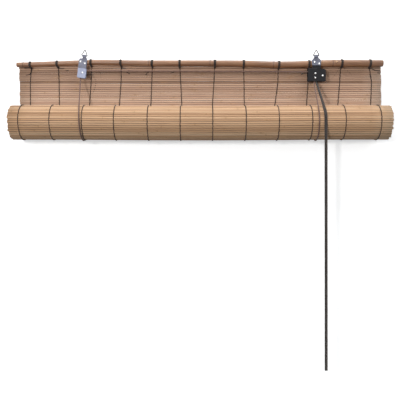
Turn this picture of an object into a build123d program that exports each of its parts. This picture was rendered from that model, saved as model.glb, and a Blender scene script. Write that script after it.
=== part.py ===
from build123d import *
import os
from math import acos, asin, atan2, ceil, cos, degrees, hypot, pi, radians, sin, sqrt, tan

# Bamboo blind, shown nearly rolled up. Millimetres, +Z up, front towards -Y.
# The origin is level with the points where the hooks bear in the rings, midway across the mat.

# Driving sizes of the slat mat
blind_width = 1200.0
blind_drop = 1800.0
slat_pitch = 6.95
slat_gap = 1.0
slat_thickness = 2.4
web_thickness = 0.7
roll_radius = 57.2
roll_axis_drop = 239.5
mat_top = -40.5
slot_height = 0.5
threads_between_bridges = 3

# Warp threads, tied by hand at uneven spacings
thread_margin = 35.0
thread_spacings = (95, 107, 94, 106, 101, 102, 106, 102, 104, 105, 110)
thread_width = 2.0
thread_height = 1.4
thread_clearance = 0.15

# Canes: each station is a share of the half width, a height and a diameter
cane_overhang = 3.0
cane_stations = (
    (-1.0, -45.5, 15.0),
    (-0.8, -41.5, 15.6),
    (-0.583, -36.8, 16.4),
    (0.25, -40.2, 19.4),
    (0.517, -43.4, 20.8),
    (1.0, -39.6, 21.4),
)
cane_joints = (
    (-0.97, -45.0, 15.1),
    (-0.282, -39.4, 17.4),
    (0.055, -39.2, 18.4),
    (0.402, -44.0, 20.4),
    (0.728, -39.0, 21.4),
)
joint_ridge = 0.9
joint_half_length = 4.0
cane_end_round = 2.5
cane_sides = 20
bottom_cane_diameter = 22.0
core_room = 4.6
mat_clearance = 0.3
seat_clearance = 0.1

# Hanging rings, folded hanger plates and screws
ring_wire = 2.6
ring_half_base = 10.2
ring_height = 19.3
ring_corner = 1.5
bar_drop = 18.0
shaft_clearance = 0.08
plate_thickness = 1.5
case_sheet = 1.2
left_hanger_inset = 222.0
right_hanger_inset = 220.0
left_hanger_tilt = 7.0
tongue_width = 12.4
left_tongue_shift = 0.6
screw_head = 6.2
screw_head_height = 1.7
screw_shank = 3.0
screw_depth = 9.0
left_screws_at = ((-10.7, -20.5), (4.0, -24.6))
right_screws_at = ((-4.6, -20.0), (10.1, -25.9))

# Pulley case on the left and cord lock on the right
case_round = 2.6
left_case_width = 28.0
left_case_top = -42.8
left_case_bottom = -74.0
left_case_depth = 8.0
left_wheel_at = (1.6, -57.1)
left_neck_sides = (-14.0, 10.0)
left_neck_top = -16.0
neck_overlap = 8.0
lock_half_width = 29.0
lock_top = -60.5
lock_window_top = -66.6
lock_window_shift = 1.0
lock_bottom = -103.0
lock_depth = 12.0
lock_neck_width = 28.0
lock_neck_shift = 1.5
lock_neck_top = -33.0
lock_wheel_from_bar = (-5.0, -77.9)
guide_roller_from_bar = (-4.8, -92.2)
pawl_from_bar = (19.0, -85.4)
cord_exit_height = -100.0
left_exit_drop = 21.0
cord_edge_drop = 5.0
cord_exit_half_gap = 3.4

# Wheels and rivets
wheel_radius = 7.5
groove_radius = 5.0
wheel_width = 7.0
groove_spacing = 4.6
guide_roller_radius = 2.2
guide_pin_radius = 1.1
rivet_radius = 1.6
rivet_head = 5.6
rivet_head_height = 1.5
rivet_tail = 0.8
side_gap = 0.5
pawl_hub_radius = 5.0
pawl_tooth_count = 7
pawl_tooth_depth = 1.3
pawl_cam_drop = 2.6
pawl_first_angle = 178
pawl_last_angle = 238

# Cords
cord_diameter = 3.8
cord_clearance = 0.3
pull_cord_end = -1020.7
knot_height = -74.0
knot_radius = 5.0
lift_cord_top = -80.0
eye_height = -38.0
eye_radius = 4.2
eye_wire = 2.2
wire_sides = 8
knot_shifts = (1.0, -6.5)
pull_cord_shifts = (11.3, 15.3)
edge_radius = 10.0
exit_radius = 11.5

# Sizes that follow from those above
half_width = blind_width / 2
bar_radius = ring_wire / 2
curl_radius = bar_radius + shaft_clearance
plate_front = curl_radius
case_front = plate_front + plate_thickness
rod_front = case_front + case_sheet
cane_front = rod_front + seat_clearance
thickest_cane = max(d for _, _, d in cane_stations + cane_joints) + joint_ridge
mat_front = cane_front + thickest_cane + mat_clearance
mat_middle = mat_front + slat_thickness / 2
mat_back = mat_front + slat_thickness
cord_radius = cord_diameter / 2
turn_radius = roll_radius - slat_thickness / 2
roll_y = mat_middle - turn_radius
roll_z = -roll_axis_drop
left_bar_x = -half_width + left_hanger_inset
right_bar_x = half_width - right_hanger_inset
flat_height = mat_top - roll_z
core_radius = (bottom_cane_diameter + slat_thickness) / 2 + core_room
turn_pitch = pi * (turn_radius**2 - core_radius**2) / (blind_drop - flat_height)
slat_count = int(blind_drop // slat_pitch)
flat_slats = int(flat_height // slat_pitch)
lock_left = right_bar_x - lock_half_width
lock_right = right_bar_x + lock_half_width
lock_window_left = right_bar_x + lock_window_shift
lock_wheel_at = (right_bar_x + lock_wheel_from_bar[0], lock_wheel_from_bar[1])
guide_roller_at = (right_bar_x + guide_roller_from_bar[0], guide_roller_from_bar[1])
pawl_at = (right_bar_x + pawl_from_bar[0], pawl_from_bar[1])
wheel_track = groove_radius + cord_clearance + cord_radius
left_wheel_y = case_front - left_case_depth / 2
lock_wheel_y = case_front - lock_depth / 2
lock_front_y = lock_wheel_y - groove_spacing / 2
lock_back_y = lock_wheel_y + groove_spacing / 2
thread_reach = thread_clearance + thread_height / 2
left_knot_x = left_bar_x + knot_shifts[0]
right_knot_x = right_bar_x + knot_shifts[1]
knot_y = mat_back + cord_clearance + cord_radius
eye_y = mat_back + cord_clearance + eye_wire / 2 + eye_radius
roll_fillet = 0.97 * (roll_radius - turn_pitch / 3 + cord_clearance + cord_radius)
wheel_fillet = wheel_track - 0.2
cord_join_z = pawl_at[1] - pawl_hub_radius
rising_exit = (guide_roller_at[0] - cord_exit_half_gap, cord_exit_height)
falling_exit = (guide_roller_at[0] + cord_exit_half_gap, cord_exit_height)

lock_pins = ((lock_wheel_at, rivet_radius), (guide_roller_at, guide_pin_radius), (pawl_at, rivet_radius))
left_tongue = (left_tongue_shift - tongue_width / 2, left_tongue_shift + tongue_width / 2)
tongue_half = tongue_width / 2

# Front outlines of the two hanger plates, from the ring's bar
left_plate_outline = ((-16, -42), (10, -42), (10, -9), (left_tongue[1], -5), (left_tongue[1], 0),
                      (left_tongue[0], 0), (left_tongue[0], -10), (-11, -9.5), (-15, -12), (-16, -16))
right_plate_outline = ((-13, -31), (15, -31), (16.5, -16), (tongue_half, -5), (tongue_half, 0),
                       (-tongue_half, 0), (-tongue_half, -5), (-14.5, -16))

os.makedirs("parts", exist_ok=True)
written = []


def save(name, *solids):
    """Write one named sub-part."""
    shape = solids[0] if len(solids) == 1 else Compound(children=list(solids))
    shape.label = name
    export_step(shape, f"parts/{name}.step")
    written.append(name)


def thread_columns():
    """The X of each warp thread, spread between the two margins."""
    spread = blind_width - 2 * thread_margin
    total = sum(thread_spacings)
    places = [-half_width + thread_margin]
    for spacing in thread_spacings:
        places.append(places[-1] + spacing * spread / total)
    return places


def cane_line():
    """Stations and joints of the head cane in order along X: x, z, diameter, is it a joint."""
    line = [(share * half_width, z, d, False) for share, z, d in cane_stations]
    line += [(share * half_width, z, d, True) for share, z, d in cane_joints]
    line = sorted(line)
    line[0] = (line[0][0] - cane_overhang, *line[0][1:])
    line[-1] = (line[-1][0] + cane_overhang, *line[-1][1:])
    return line


def cane_at(x):
    """The head cane's axis height and radius at a place along X."""
    line = cane_line()
    for (x0, z0, d0, _), (x1, z1, d1, _) in zip(line, line[1:]):
        if x <= x1:
            share = (x - x0) / (x1 - x0)
            return z0 + share * (z1 - z0), (d0 + share * (d1 - d0)) / 2
    return line[-1][1], line[-1][2] / 2


def spiral_angle(length):
    """The angle turned, in radians, when this much of the mat has gone into the roll."""
    return (turn_radius - sqrt(turn_radius**2 - turn_pitch * length / pi)) * 2 * pi / turn_pitch


def mat_point(distance, offset):
    """A Y, Z point beside the mat's middle line; a positive offset is the roll's outside."""
    if distance <= flat_height:
        return mat_middle + offset, mat_top - distance
    angle = spiral_angle(distance - flat_height)
    radius = turn_radius - turn_pitch * angle / (2 * pi) + offset
    return roll_y + radius * cos(angle), roll_z - radius * sin(angle)


def roll_point(angle, clearance):
    """A Y, Z point off the roll's outer turn; the angle runs down from the back, in radians."""
    radius = roll_radius - turn_pitch * angle / (2 * pi) + clearance
    return roll_y + radius * cos(angle), roll_z - radius * sin(angle)


def taut_angle(centre, radius, point, side):
    """The angle on a circle where a taut line to an outside point leaves it."""
    dy, dz = point[0] - centre[0], point[1] - centre[1]
    return atan2(dz, dy) + side * acos(radius / hypot(dy, dz))


def on_side_plane(points, x0, x1):
    """A closed Y, Z outline made solid between two places along X."""
    outline = Polyline([(x0, y, z) for y, z in points], close=True)
    return extrude(make_face(outline), amount=x1 - x0, dir=(1, 0, 0))


def ridged_wall(first, last):
    """Slats first to last as one solid, joined by thin webs; its ends are half a web long."""
    face, web = slat_thickness / 2, web_thickness / 2
    outside, inside = [], []
    first_turn = flat_height + 2 * pi * turn_radius
    for k in range(first, last):
        start = k * slat_pitch
        end = start + slat_pitch - slat_gap
        if k == first > 0:
            outside.append(mat_point(start - slat_gap / 2, web))
            inside.append(mat_point(start - slat_gap / 2, -web))
        outside += [mat_point(start, face), mat_point(end, face)]
        if start < first_turn:
            inside += [mat_point(start, -face), mat_point(end, -face)]
        else:
            inside.append(mat_point((start + end) / 2, -face))
        if k < slat_count - 1:
            outside.append(mat_point(end + slat_gap / 2, web))
            if start < first_turn:
                inside.append(mat_point(end + slat_gap / 2, -web))
    return on_side_plane(outside + inside[::-1], -half_width, half_width)


def slat_mat():
    """The flat mat above the roll, with gaps between its slats from thread to thread."""
    columns = thread_columns()
    bridges = columns[::threads_between_bridges]
    if bridges[-1] != columns[-1]:
        bridges.append(columns[-1])
    slots = []
    lowest_cane = min(z - d / 2 for _, z, d in cane_stations + cane_joints)
    for k in range(1, flat_slats):
        z = mat_top - k * slat_pitch + slat_gap / 2
        if not roll_z + roll_radius < z < lowest_cane + slat_pitch:
            continue
        for x0, x1 in zip(bridges, bridges[1:]):
            slot = Box(x1 - x0 - 3 * thread_width, 2 * slat_thickness, slot_height)
            slots.append(Pos((x0 + x1) / 2, mat_middle, z) * slot)
    return ridged_wall(0, flat_slats) - slots


def slat_roll():
    """The rolled part of the mat: one spiral of slats, its outer turn carried on from the mat."""
    return ridged_wall(flat_slats, slat_count)


def ribbon(points, thickness):
    """The outline of a strip that follows Y, Z points, with mitred corners."""
    left, right = [], []
    for i, (y, z) in enumerate(points):
        before = points[max(i - 1, 0)]
        after = points[min(i + 1, len(points) - 1)]
        into = (Vector(y, z) - Vector(*before)).normalized() if i else None
        out = (Vector(*after) - Vector(y, z)).normalized() if i < len(points) - 1 else None
        into, out = into or out, out or into
        normal_in, normal_out = Vector(-into.Y, into.X), Vector(-out.Y, out.X)
        miter = (normal_in + normal_out).normalized()
        reach = thickness / 2 / miter.dot(normal_in)
        left.append((y + miter.X * reach, z + miter.Y * reach))
        right.append((y - miter.X * reach, z - miter.Y * reach))
    return left + right[::-1]


def arc_points(start, end, step, place):
    """Points spaced evenly from one angle to another."""
    count = max(1, ceil(abs(end - start) / step))
    return [place(start + (end - start) * i / count) for i in range(count + 1)]


def warp_thread(x):
    """One thread: up the mat's front, round the head cane, down the back and round the roll."""
    cane_z, cane_radius = cane_at(x)
    centre = (cane_front + cane_radius, cane_z)
    loop_step = radians(24)
    loop_radius = (cane_radius + joint_ridge + thread_reach) / cos(loop_step / 2)
    front_y = mat_front - thread_reach
    back_y = mat_back + thread_reach
    under = (front_y, cane_z - cane_radius - 4 * thread_height)
    over = (back_y, mat_top + thread_reach)
    first = taut_angle(centre, loop_radius, under, -1)
    last = taut_angle(centre, loop_radius, over, 1) - 2 * pi

    def round_cane(angle):
        return centre[0] + loop_radius * cos(angle), centre[1] + loop_radius * sin(angle)

    # The strand on the front ends where the roll closes on the mat.
    half_gap = thread_height + 4 * thread_clearance
    inner_turn = roll_radius - turn_pitch
    room = turn_pitch - slat_thickness
    rise = sqrt(max(0.0, inner_turn**2 - (inner_turn + room - half_gap - thread_height) ** 2))
    wedge = (front_y, roll_z + rise + slat_pitch)
    roll_step = radians(10)
    last_turn = 2 * pi - taut_wedge()
    reach = thread_reach + (roll_radius + thread_reach) * (1 / cos(roll_step / 2) - 1)
    line = [wedge, under]
    line += arc_points(first, last, loop_step, round_cane)
    line += [over]
    line += arc_points(0.0, last_turn, roll_step, lambda a: roll_point(a, reach))
    return on_side_plane(ribbon(line, thread_height), x - thread_width / 2, x + thread_width / 2)


def taut_wedge():
    """The angle above the roll's back at which its outer turn passes under the flat mat."""
    top = roll_radius - turn_pitch
    return acos((top + turn_pitch - slat_thickness - 3 * thread_height) / (top + thread_height))


def head_cane():
    """The crooked head cane, a straight taper between stations and a ridge at each joint."""
    rings = []
    for x, z, d, is_joint in cane_line():
        if is_joint:
            rings += [(x - joint_half_length, z, d), (x, z, d + 2 * joint_ridge)]
            rings += [(x + joint_half_length, z, d)]
        else:
            rings.append((x, z, d))
    first, last = rings[0], rings[-1]
    rings[0] = (first[0] + cane_end_round, *first[1:])
    rings[-1] = (last[0] - cane_end_round, *last[1:])
    rings.insert(0, (first[0], first[1], first[2] - 2 * cane_end_round))
    rings.append((last[0], last[1], last[2] - 2 * cane_end_round))
    sections = []
    for x, z, d in rings:
        middle = cane_front + cane_at(x)[1]
        place = Plane((x, middle, z), x_dir=(0, 1, 0), z_dir=(1, 0, 0))
        sections.append(place * RegularPolygon(d / 2, cane_sides))
    cane = loft(sections, ruled=True)
    holes = [screw_shanks(left_frame(), left_screws_at), screw_shanks(right_frame(), right_screws_at)]
    holes += [eye_shank(x) for x in (left_knot_x, right_knot_x)]
    for hole in holes:
        cane -= hole
    return cane


def bottom_cane():
    """The cane at the core, lying against the mat's inner end."""
    angle = spiral_angle(slat_count * slat_pitch - slat_gap - flat_height)
    last_turn = turn_radius - turn_pitch * angle / (2 * pi)
    slat_dip = slat_pitch**2 / (8 * last_turn)
    inner = last_turn - slat_thickness / 2 - slat_dip
    offset = inner - bottom_cane_diameter / 2 - seat_clearance
    angle -= slat_pitch / last_turn / 2
    place = (-half_width, roll_y + offset * cos(angle), roll_z - offset * sin(angle))
    start = Plane(place, x_dir=(0, 1, 0), z_dir=(1, 0, 0))
    cane = extrude(start * Circle(bottom_cane_diameter / 2), amount=blind_width)
    return chamfer(cane.edges().filter_by(GeomType.CIRCLE), cane_end_round / 2)


def left_frame():
    """The left hanger's own frame: its origin is the ring's bar, leaning with the hanger."""
    return Location((left_bar_x, 0, -bar_drop), (0, left_hanger_tilt, 0))


def right_frame():
    """The right hanger's own frame, upright."""
    return Location((right_bar_x, 0, -bar_drop))


def front_outline(points):
    """A closed outline drawn as seen from the front, in X and Z, as a face at Y of zero."""
    return make_face(Polyline([(x, 0, z) for x, z in points], close=True))


def rectangle(x0, x1, z0, z1):
    """An upright rectangle as seen from the front."""
    return front_outline([(x0, z0), (x1, z0), (x1, z1), (x0, z1)])


def slab(face, near, far):
    """A front view made solid from one depth to another."""
    return Pos(0, near, 0) * extrude(face, amount=far - near, dir=(0, 1, 0))


def along_y(radius, near, far, x=0.0, z=0.0):
    """A round bar along Y between two depths."""
    return Pos(x, (near + far) / 2, z) * Rot(90, 0, 0) * Cylinder(radius, far - near)


def pipe(line, radius):
    """A round wire or cord along runs and arcs: a cylinder for each run, a bend for each arc."""
    pieces = []
    for edge in line.edges():
        section = Plane(edge @ 0, z_dir=edge % 0) * Circle(radius)
        if edge.geom_type == GeomType.LINE:
            pieces.append(extrude(section, amount=edge.length))
        else:
            turn = degrees(edge.length / edge.radius)
            normal = (edge % 0).cross(edge % 0.5)
            pieces.append(revolve(section, Axis(edge.arc_center, normal), turn))
    return pieces[0].fuse(*pieces[1:]) if len(pieces) > 1 else pieces[0]


def hanging_ring():
    """A triangular ring of round wire that swings on its lower side."""
    corners = [(ring_half_base, 0, 0), (0, 0, ring_height), (-ring_half_base, 0, 0)]
    line = FilletPolyline(*corners, close=True, radius=ring_corner)
    return pipe(line, bar_radius)


def hanger_plate(outline, screws_at, tongue_shift):
    """A flat plate whose tongue is folded forward round the ring's bar."""
    blank = slab(front_outline(outline), plate_front, plate_front + plate_thickness)
    outer = curl_radius + plate_thickness
    curl = Rot(0, 90, 0) * Cylinder(outer, tongue_width)
    curl += Pos(0, 0, -outer) * Box(tongue_width, 2 * outer, 2 * outer)
    curl -= Rot(0, 90, 0) * Cylinder(curl_radius, 2 * tongue_width)
    curl -= Pos(0, 0, -outer) * Box(2 * tongue_width, 2 * curl_radius, 2 * outer)
    plate = blank + Pos(tongue_shift, 0, 0) * curl
    for x, z in screws_at:
        plate -= along_y(screw_shank / 2, 0, 2 * rod_front, x, z)
    return plate


def screw_shanks(frame, places):
    """The holes that the two screws make in plate, case and cane."""
    depth = rod_front + screw_depth
    return [frame * along_y(screw_shank / 2, plate_front, depth, x, z) for x, z in places]


def screws(frame, places):
    """Two round-headed screws through plate and case into the cane."""
    made = []
    for x, z in places:
        head = Pos(x, plate_front, z) * button(screw_head, screw_head_height)
        shank = along_y(screw_shank / 2, plate_front, rod_front + screw_depth, x, z)
        made.append(frame * (head + shank))
    return made


def button(width, height):
    """A domed head that stands forward from a surface at Y of zero."""
    radius = (width**2 / 4 + height**2) / (2 * height)
    dome = Pos(0, radius - height, 0) * Sphere(radius)
    return dome & Pos(0, -height / 2, 0) * Box(2 * width, height, 2 * width)


def folded_channel(x0, x1, z0, z1, depth):
    """A sheet folded over at the top: back, top and front walls, open below and at the sides."""
    width, height = x1 - x0, z1 - z0
    outer = Box(width, depth + 2 * case_sheet, height)
    inner = Pos(0, 0, -case_sheet) * Box(2 * width, depth, height)
    outer = fillet(outer.edges().filter_by(Axis.X).group_by(Axis.Z)[-1], case_round)
    inner = fillet(inner.edges().filter_by(Axis.X).group_by(Axis.Z)[-1], case_round - case_sheet)
    lower = (outer - inner).edges().filter_by(Axis.Y).group_by(Axis.Z)[0]
    channel = fillet(lower, case_round)
    return Pos((x0 + x1) / 2, case_front - depth / 2, (z0 + z1) / 2) * channel


def left_pulley_case():
    """The left case: a neck behind the hanger plate and a channel for the wheel."""
    half = left_case_width / 2
    case = folded_channel(-half, half, left_case_bottom, left_case_top, left_case_depth)
    neck = rectangle(*left_neck_sides, left_case_top - neck_overlap, left_neck_top)
    case += slab(neck, case_front, rod_front)
    x, z = left_wheel_at
    case -= along_y(rivet_radius, -rod_front * 4, rod_front * 2, x, z)
    for sx, sz in left_screws_at:
        case -= along_y(screw_shank / 2, 0, rod_front * 2, sx, sz)
    return left_frame() * case


def lock_case():
    """The cord lock's case: a neck behind the right hanger plate and a folded channel."""
    case = folded_channel(lock_left, lock_right, lock_bottom, lock_top, lock_depth)
    front = case_front - lock_depth - case_sheet
    case -= slab(rectangle(lock_window_left, 2 * lock_right, lock_window_top, 0), 2 * front, case_front)
    middle, half = right_bar_x + lock_neck_shift, lock_neck_width / 2
    neck = rectangle(middle - half, middle + half, lock_top - neck_overlap, lock_neck_top)
    case += slab(neck, case_front, rod_front)
    for (x, z), radius in lock_pins:
        case -= along_y(radius, 2 * front, 2 * rod_front, x, z)
    for hole in screw_shanks(right_frame(), right_screws_at):
        case -= hole
    return case


def rivet(depth, radius):
    """A rivet through both walls of a case, with a domed head in front and a flat tail behind."""
    front = case_front - depth - case_sheet
    back = rod_front + rivet_tail
    pin = along_y(radius, front, back)
    tail = along_y(rivet_radius * 1.5, rod_front, back)
    return Pos(0, front, 0) * button(rivet_head, rivet_head_height) + pin + tail


def grooved_wheel(width, groove_places):
    """A turned wheel with a round-bottomed groove for each cord, flared towards the rims."""
    half_floor = 0.6 * cord_radius
    half_mouth = cord_radius + cord_clearance
    edge = width / 2
    profile = [(rivet_radius + shaft_clearance, -edge), (wheel_radius, -edge)]
    for place in groove_places:
        profile += [(wheel_radius, place - half_mouth), (groove_radius + 1.0, place - half_floor * 1.6)]
        profile += [(groove_radius, place - half_floor * 0.6), (groove_radius, place + half_floor * 0.6)]
        profile += [(groove_radius + 1.0, place + half_floor * 1.6), (wheel_radius, place + half_mouth)]
    profile += [(wheel_radius, edge), (rivet_radius + shaft_clearance, edge)]
    section = make_face(Polyline([(r, y, 0) for r, y in profile], close=True))
    return revolve(section, Axis.Y)


def guide_roller():
    """The small plain roller between the rising cord and the falling cords."""
    width = lock_depth - 2 * side_gap
    roller = Rot(90, 0, 0) * Cylinder(guide_roller_radius, width)
    return roller - Rot(90, 0, 0) * Cylinder(guide_pin_radius + shaft_clearance, 2 * width)


def locking_pawl():
    """The toothed cam that pinches the cords against the wheel."""
    reach = pawl_at[0] - cord_at(falling_exit, 1, pawl_at[1]) - cord_radius - cord_clearance
    hub = pawl_hub_radius
    outline = []
    start, end = radians(pawl_first_angle), radians(pawl_last_angle)
    step = (end - start) / pawl_tooth_count
    for i in range(pawl_tooth_count):
        tip = reach - pawl_cam_drop * i / pawl_tooth_count
        root = tip - pawl_tooth_depth
        angle = start + i * step
        outline.append((tip * cos(angle), tip * sin(angle)))
        outline.append((root * cos(angle + step / 2), root * sin(angle + step / 2)))
    outline += [(0.6 * hub, -0.8 * hub), (0.2 * hub, 0.95 * hub), (-0.75 * reach, 0.7 * hub)]
    width = lock_depth - 2 * side_gap
    cam = slab(front_outline(outline), -width / 2, width / 2)
    cam += along_y(hub, -width / 2, width / 2)
    return cam - along_y(rivet_radius + shaft_clearance, -width, width)


def cord_lean(exit_point, side):
    """How far a taut cord leans, in radians from upright, from its exit to one side of the wheel."""
    dx, dz = lock_wheel_at[0] - exit_point[0], lock_wheel_at[1] - exit_point[1]
    return atan2(dx, dz) + side * asin(wheel_track / hypot(dx, dz))


def cord_at(exit_point, side, z):
    """The X of that cord's middle at a height."""
    return exit_point[0] + (z - exit_point[1]) * tan(cord_lean(exit_point, side))


def cord_path(name, points, radii):
    """A cord's line: straight runs joined by arcs. A radius of None is as large as the runs allow."""
    points = [Vector(*p) for p in points]
    chosen = []
    for before, here, after, radius in zip(points, points[1:], points[2:], radii):
        into, out = here - before, after - here
        turn = radians(into.get_angle(out))
        if radius is None:
            radius = 0.45 * min(into.length, out.length) / tan(turn / 2)
        chosen.append(radius)
        print(name, "turn", round(degrees(turn), 1), "radius", round(radius, 1))
    return FilletPolyline(*points, radius=chosen)


def cord_tube(name, points, radii):
    """A round cord along its path, with its volume set against section times length."""
    line = cord_path(name, points, radii)
    tube = pipe(line, cord_radius)
    share = tube.volume / (pi * cord_radius**2 * line.length)
    print(name, "length", round(line.length, 1), "volume share", round(share, 4))
    return tube


def roll_corners(first, last, count, places):
    """Corners of a polygon drawn round the roll, at the cord's own distance."""
    turn = (last - first) / count
    corners = []
    for k in range(count):
        angle = first + turn * (k + 0.5)
        radius = (roll_radius - turn_pitch * (first + turn * k) / (2 * pi) + cord_clearance + cord_radius)
        radius = radius / cos(turn / 2)
        corners.append((places[k], roll_y + radius * cos(angle), roll_z - radius * sin(angle)))
    return corners


def roll_leave_angle(y, z):
    """The angle on the roll, from its back downwards, where a cord to this point leaves it."""
    radius = roll_radius - 0.6 * turn_pitch + cord_clearance + cord_radius
    return 2 * pi - taut_angle((roll_y, roll_z), radius, (y, z), 1)


def wheel_world(local):
    """Where the left wheel's axis lies in the blind's own frame."""
    spot = left_frame() * Location((local[0], 0, local[1]))
    return spot.position.X, spot.position.Z


def lift_cord_left():
    """From the left knot down behind, round the roll, over the left wheel and across to the lock."""
    wheel_x, wheel_z = wheel_world(left_wheel_at)
    rising_x = wheel_x - wheel_track
    edge = (rising_x, left_wheel_y, wheel_z - left_exit_drop)
    leave = roll_leave_angle(edge[1], edge[2])
    shift = left_knot_x
    around = roll_corners(0.0, leave, 4, [shift + 0.5, shift + 1.5, shift + 1.0, shift])
    crown = lock_wheel_at[1] + wheel_track
    points = [(left_knot_x, knot_y, lift_cord_top), *around, edge,
              (rising_x, left_wheel_y, wheel_z + wheel_track),
              (cord_at(falling_exit, 1, crown), lock_back_y, crown),
              (cord_at(falling_exit, 1, cord_join_z), lock_back_y, cord_join_z)]
    radii = [roll_fillet] * 4 + [edge_radius, wheel_fillet, wheel_fillet]
    return cord_tube("lift_cord_left", points, radii)


def lift_cord_right():
    """From the right knot down behind, round the roll and up over the lock's wheel."""
    edge = (rising_exit[0], lock_front_y, lock_bottom - cord_edge_drop)
    leave = roll_leave_angle(edge[1], edge[2])
    shift = right_knot_x
    around = roll_corners(0.0, leave, 4, [shift, shift - 0.5, shift - 1.0, shift - 1.5])
    crown = lock_wheel_at[1] + wheel_track
    points = [(right_knot_x, knot_y, lift_cord_top), *around, edge,
              (rising_exit[0], lock_front_y, rising_exit[1]),
              (cord_at(rising_exit, -1, crown), lock_front_y, crown),
              (cord_at(falling_exit, 1, crown), lock_front_y, crown),
              (cord_at(falling_exit, 1, cord_join_z), lock_front_y, cord_join_z)]
    radii = [roll_fillet] * 4 + [edge_radius, 2 * edge_radius, wheel_fillet, wheel_fillet]
    return cord_tube("lift_cord_right", points, radii)


def pull_cord(name, depth, corners, roll_x):
    """A free tail: out of the lock, over the roll's front and straight down."""
    start = (cord_at(falling_exit, 1, cord_join_z), depth, cord_join_z)
    edge = corners[-1]
    leave = roll_leave_angle(edge[1], edge[2])
    over = roll_corners(pi, leave, 1, [roll_x])
    end = (roll_x, over[0][1], pull_cord_end)
    points = [start, *corners, *over, end]
    return cord_tube(name, points, [1.6 * edge_radius, exit_radius, roll_fillet])


def cord_knot(x):
    """A knot behind the mat with its loop through the screw eye."""
    reach = eye_wire / 2 + cord_radius + shaft_clearance
    crown = eye_height - eye_radius + reach
    foot = knot_height + 2.0
    legs = [(x - reach, knot_y, foot), (x - reach, eye_y, crown), (x + reach, eye_y, crown)]
    legs.append((x + reach, knot_y, foot))
    line = FilletPolyline(*legs, radius=reach - 0.05)
    loop = pipe(line, cord_radius)
    lump = Pos(x, knot_y + knot_radius - cord_radius, knot_height) * Sphere(knot_radius)
    stub = knot_height - lift_cord_top - seat_clearance
    return lump + loop + Pos(x, knot_y, knot_height - stub / 2) * Cylinder(cord_radius, stub)


def eye_shank(x):
    """The shank of a screw eye, from its ring into the cane."""
    cane_y = cane_front + cane_at(x)[1]
    return along_y(eye_wire / 2, cane_y, eye_y - eye_radius, x, eye_height)


def screw_eye(x):
    """A screw eye in the back of the cane, its ring upright and side on."""
    section = Pos(0, eye_y + eye_radius, 0) * RegularPolygon(eye_wire / 2, wire_sides)
    ring = revolve(section, Axis((0, eye_y, 0), (1, 0, 0)))
    return Pos(x, 0, eye_height) * ring + eye_shank(x)


save("slat_mat", slat_mat())
save("slat_roll", slat_roll())
save("head_rod", head_cane())
save("bottom_rod", bottom_cane())
for number, column in enumerate(thread_columns(), start=1):
    save(f"warp_thread_{number:02d}", warp_thread(column))

left_plate = hanger_plate(left_plate_outline, left_screws_at, left_tongue_shift)
right_plate = hanger_plate(right_plate_outline, right_screws_at, 0)
save("left_hanger_plate", left_frame() * left_plate)
save("right_hanger_plate", right_frame() * right_plate)
save("left_ring", left_frame() * hanging_ring())
save("right_ring", right_frame() * hanging_ring())
save("plate_screws", *screws(left_frame(), left_screws_at), *screws(right_frame(), right_screws_at))

wheel_x, wheel_z = wheel_world(left_wheel_at)
lock_width = lock_depth - 2 * side_gap
lock_grooves = [-groove_spacing / 2, groove_spacing / 2]
lock_wheel_place = Pos(lock_wheel_at[0], lock_wheel_y, lock_wheel_at[1])
save("left_pulley_case", left_pulley_case())
save("left_pulley_wheel", Pos(wheel_x, left_wheel_y, wheel_z) * grooved_wheel(wheel_width, [0]))
save("lock_case", lock_case())
save("lock_wheel", lock_wheel_place * grooved_wheel(lock_width, lock_grooves))
save("guide_roller", Pos(guide_roller_at[0], lock_wheel_y, guide_roller_at[1]) * guide_roller())
save("locking_pawl", Pos(pawl_at[0], lock_wheel_y, pawl_at[1]) * locking_pawl())
left_rivet = Pos(wheel_x, 0, wheel_z) * rivet(left_case_depth, rivet_radius)
save("case_rivets", left_rivet, *[Pos(x, 0, z) * rivet(lock_depth, radius) for (x, z), radius in lock_pins])

front_corners = [(falling_exit[0], lock_front_y, falling_exit[1]),
                 (falling_exit[0], lock_front_y, lock_bottom - cord_edge_drop)]
back_corners = [(falling_exit[0] + 0.6, lock_back_y, falling_exit[1] + 2.0),
                (falling_exit[0] + 3.7, lock_back_y - 2.6, lock_bottom - 7.0)]
save("lift_cord_left", lift_cord_left())
save("lift_cord_right", lift_cord_right())
front_x, back_x = (right_bar_x + shift for shift in pull_cord_shifts)
save("pull_cord_left", pull_cord("pull_cord_left", lock_front_y, front_corners, front_x))
save("pull_cord_right", pull_cord("pull_cord_right", lock_back_y, back_corners, back_x))
save("screw_eyes", screw_eye(left_knot_x), screw_eye(right_knot_x))
save("cord_knots", cord_knot(left_knot_x), cord_knot(right_knot_x))
print(len(written), "sub-parts")
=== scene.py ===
"""The look of a bamboo roll up blind: slats, threads, head cane, cords and fittings."""

import logging
from dataclasses import dataclass, field
from enum import Enum
from math import atan2, ceil, cos, pi, radians, sin, sqrt
from random import Random

import bmesh
import bpy
from mathutils import Matrix, Vector


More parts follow.
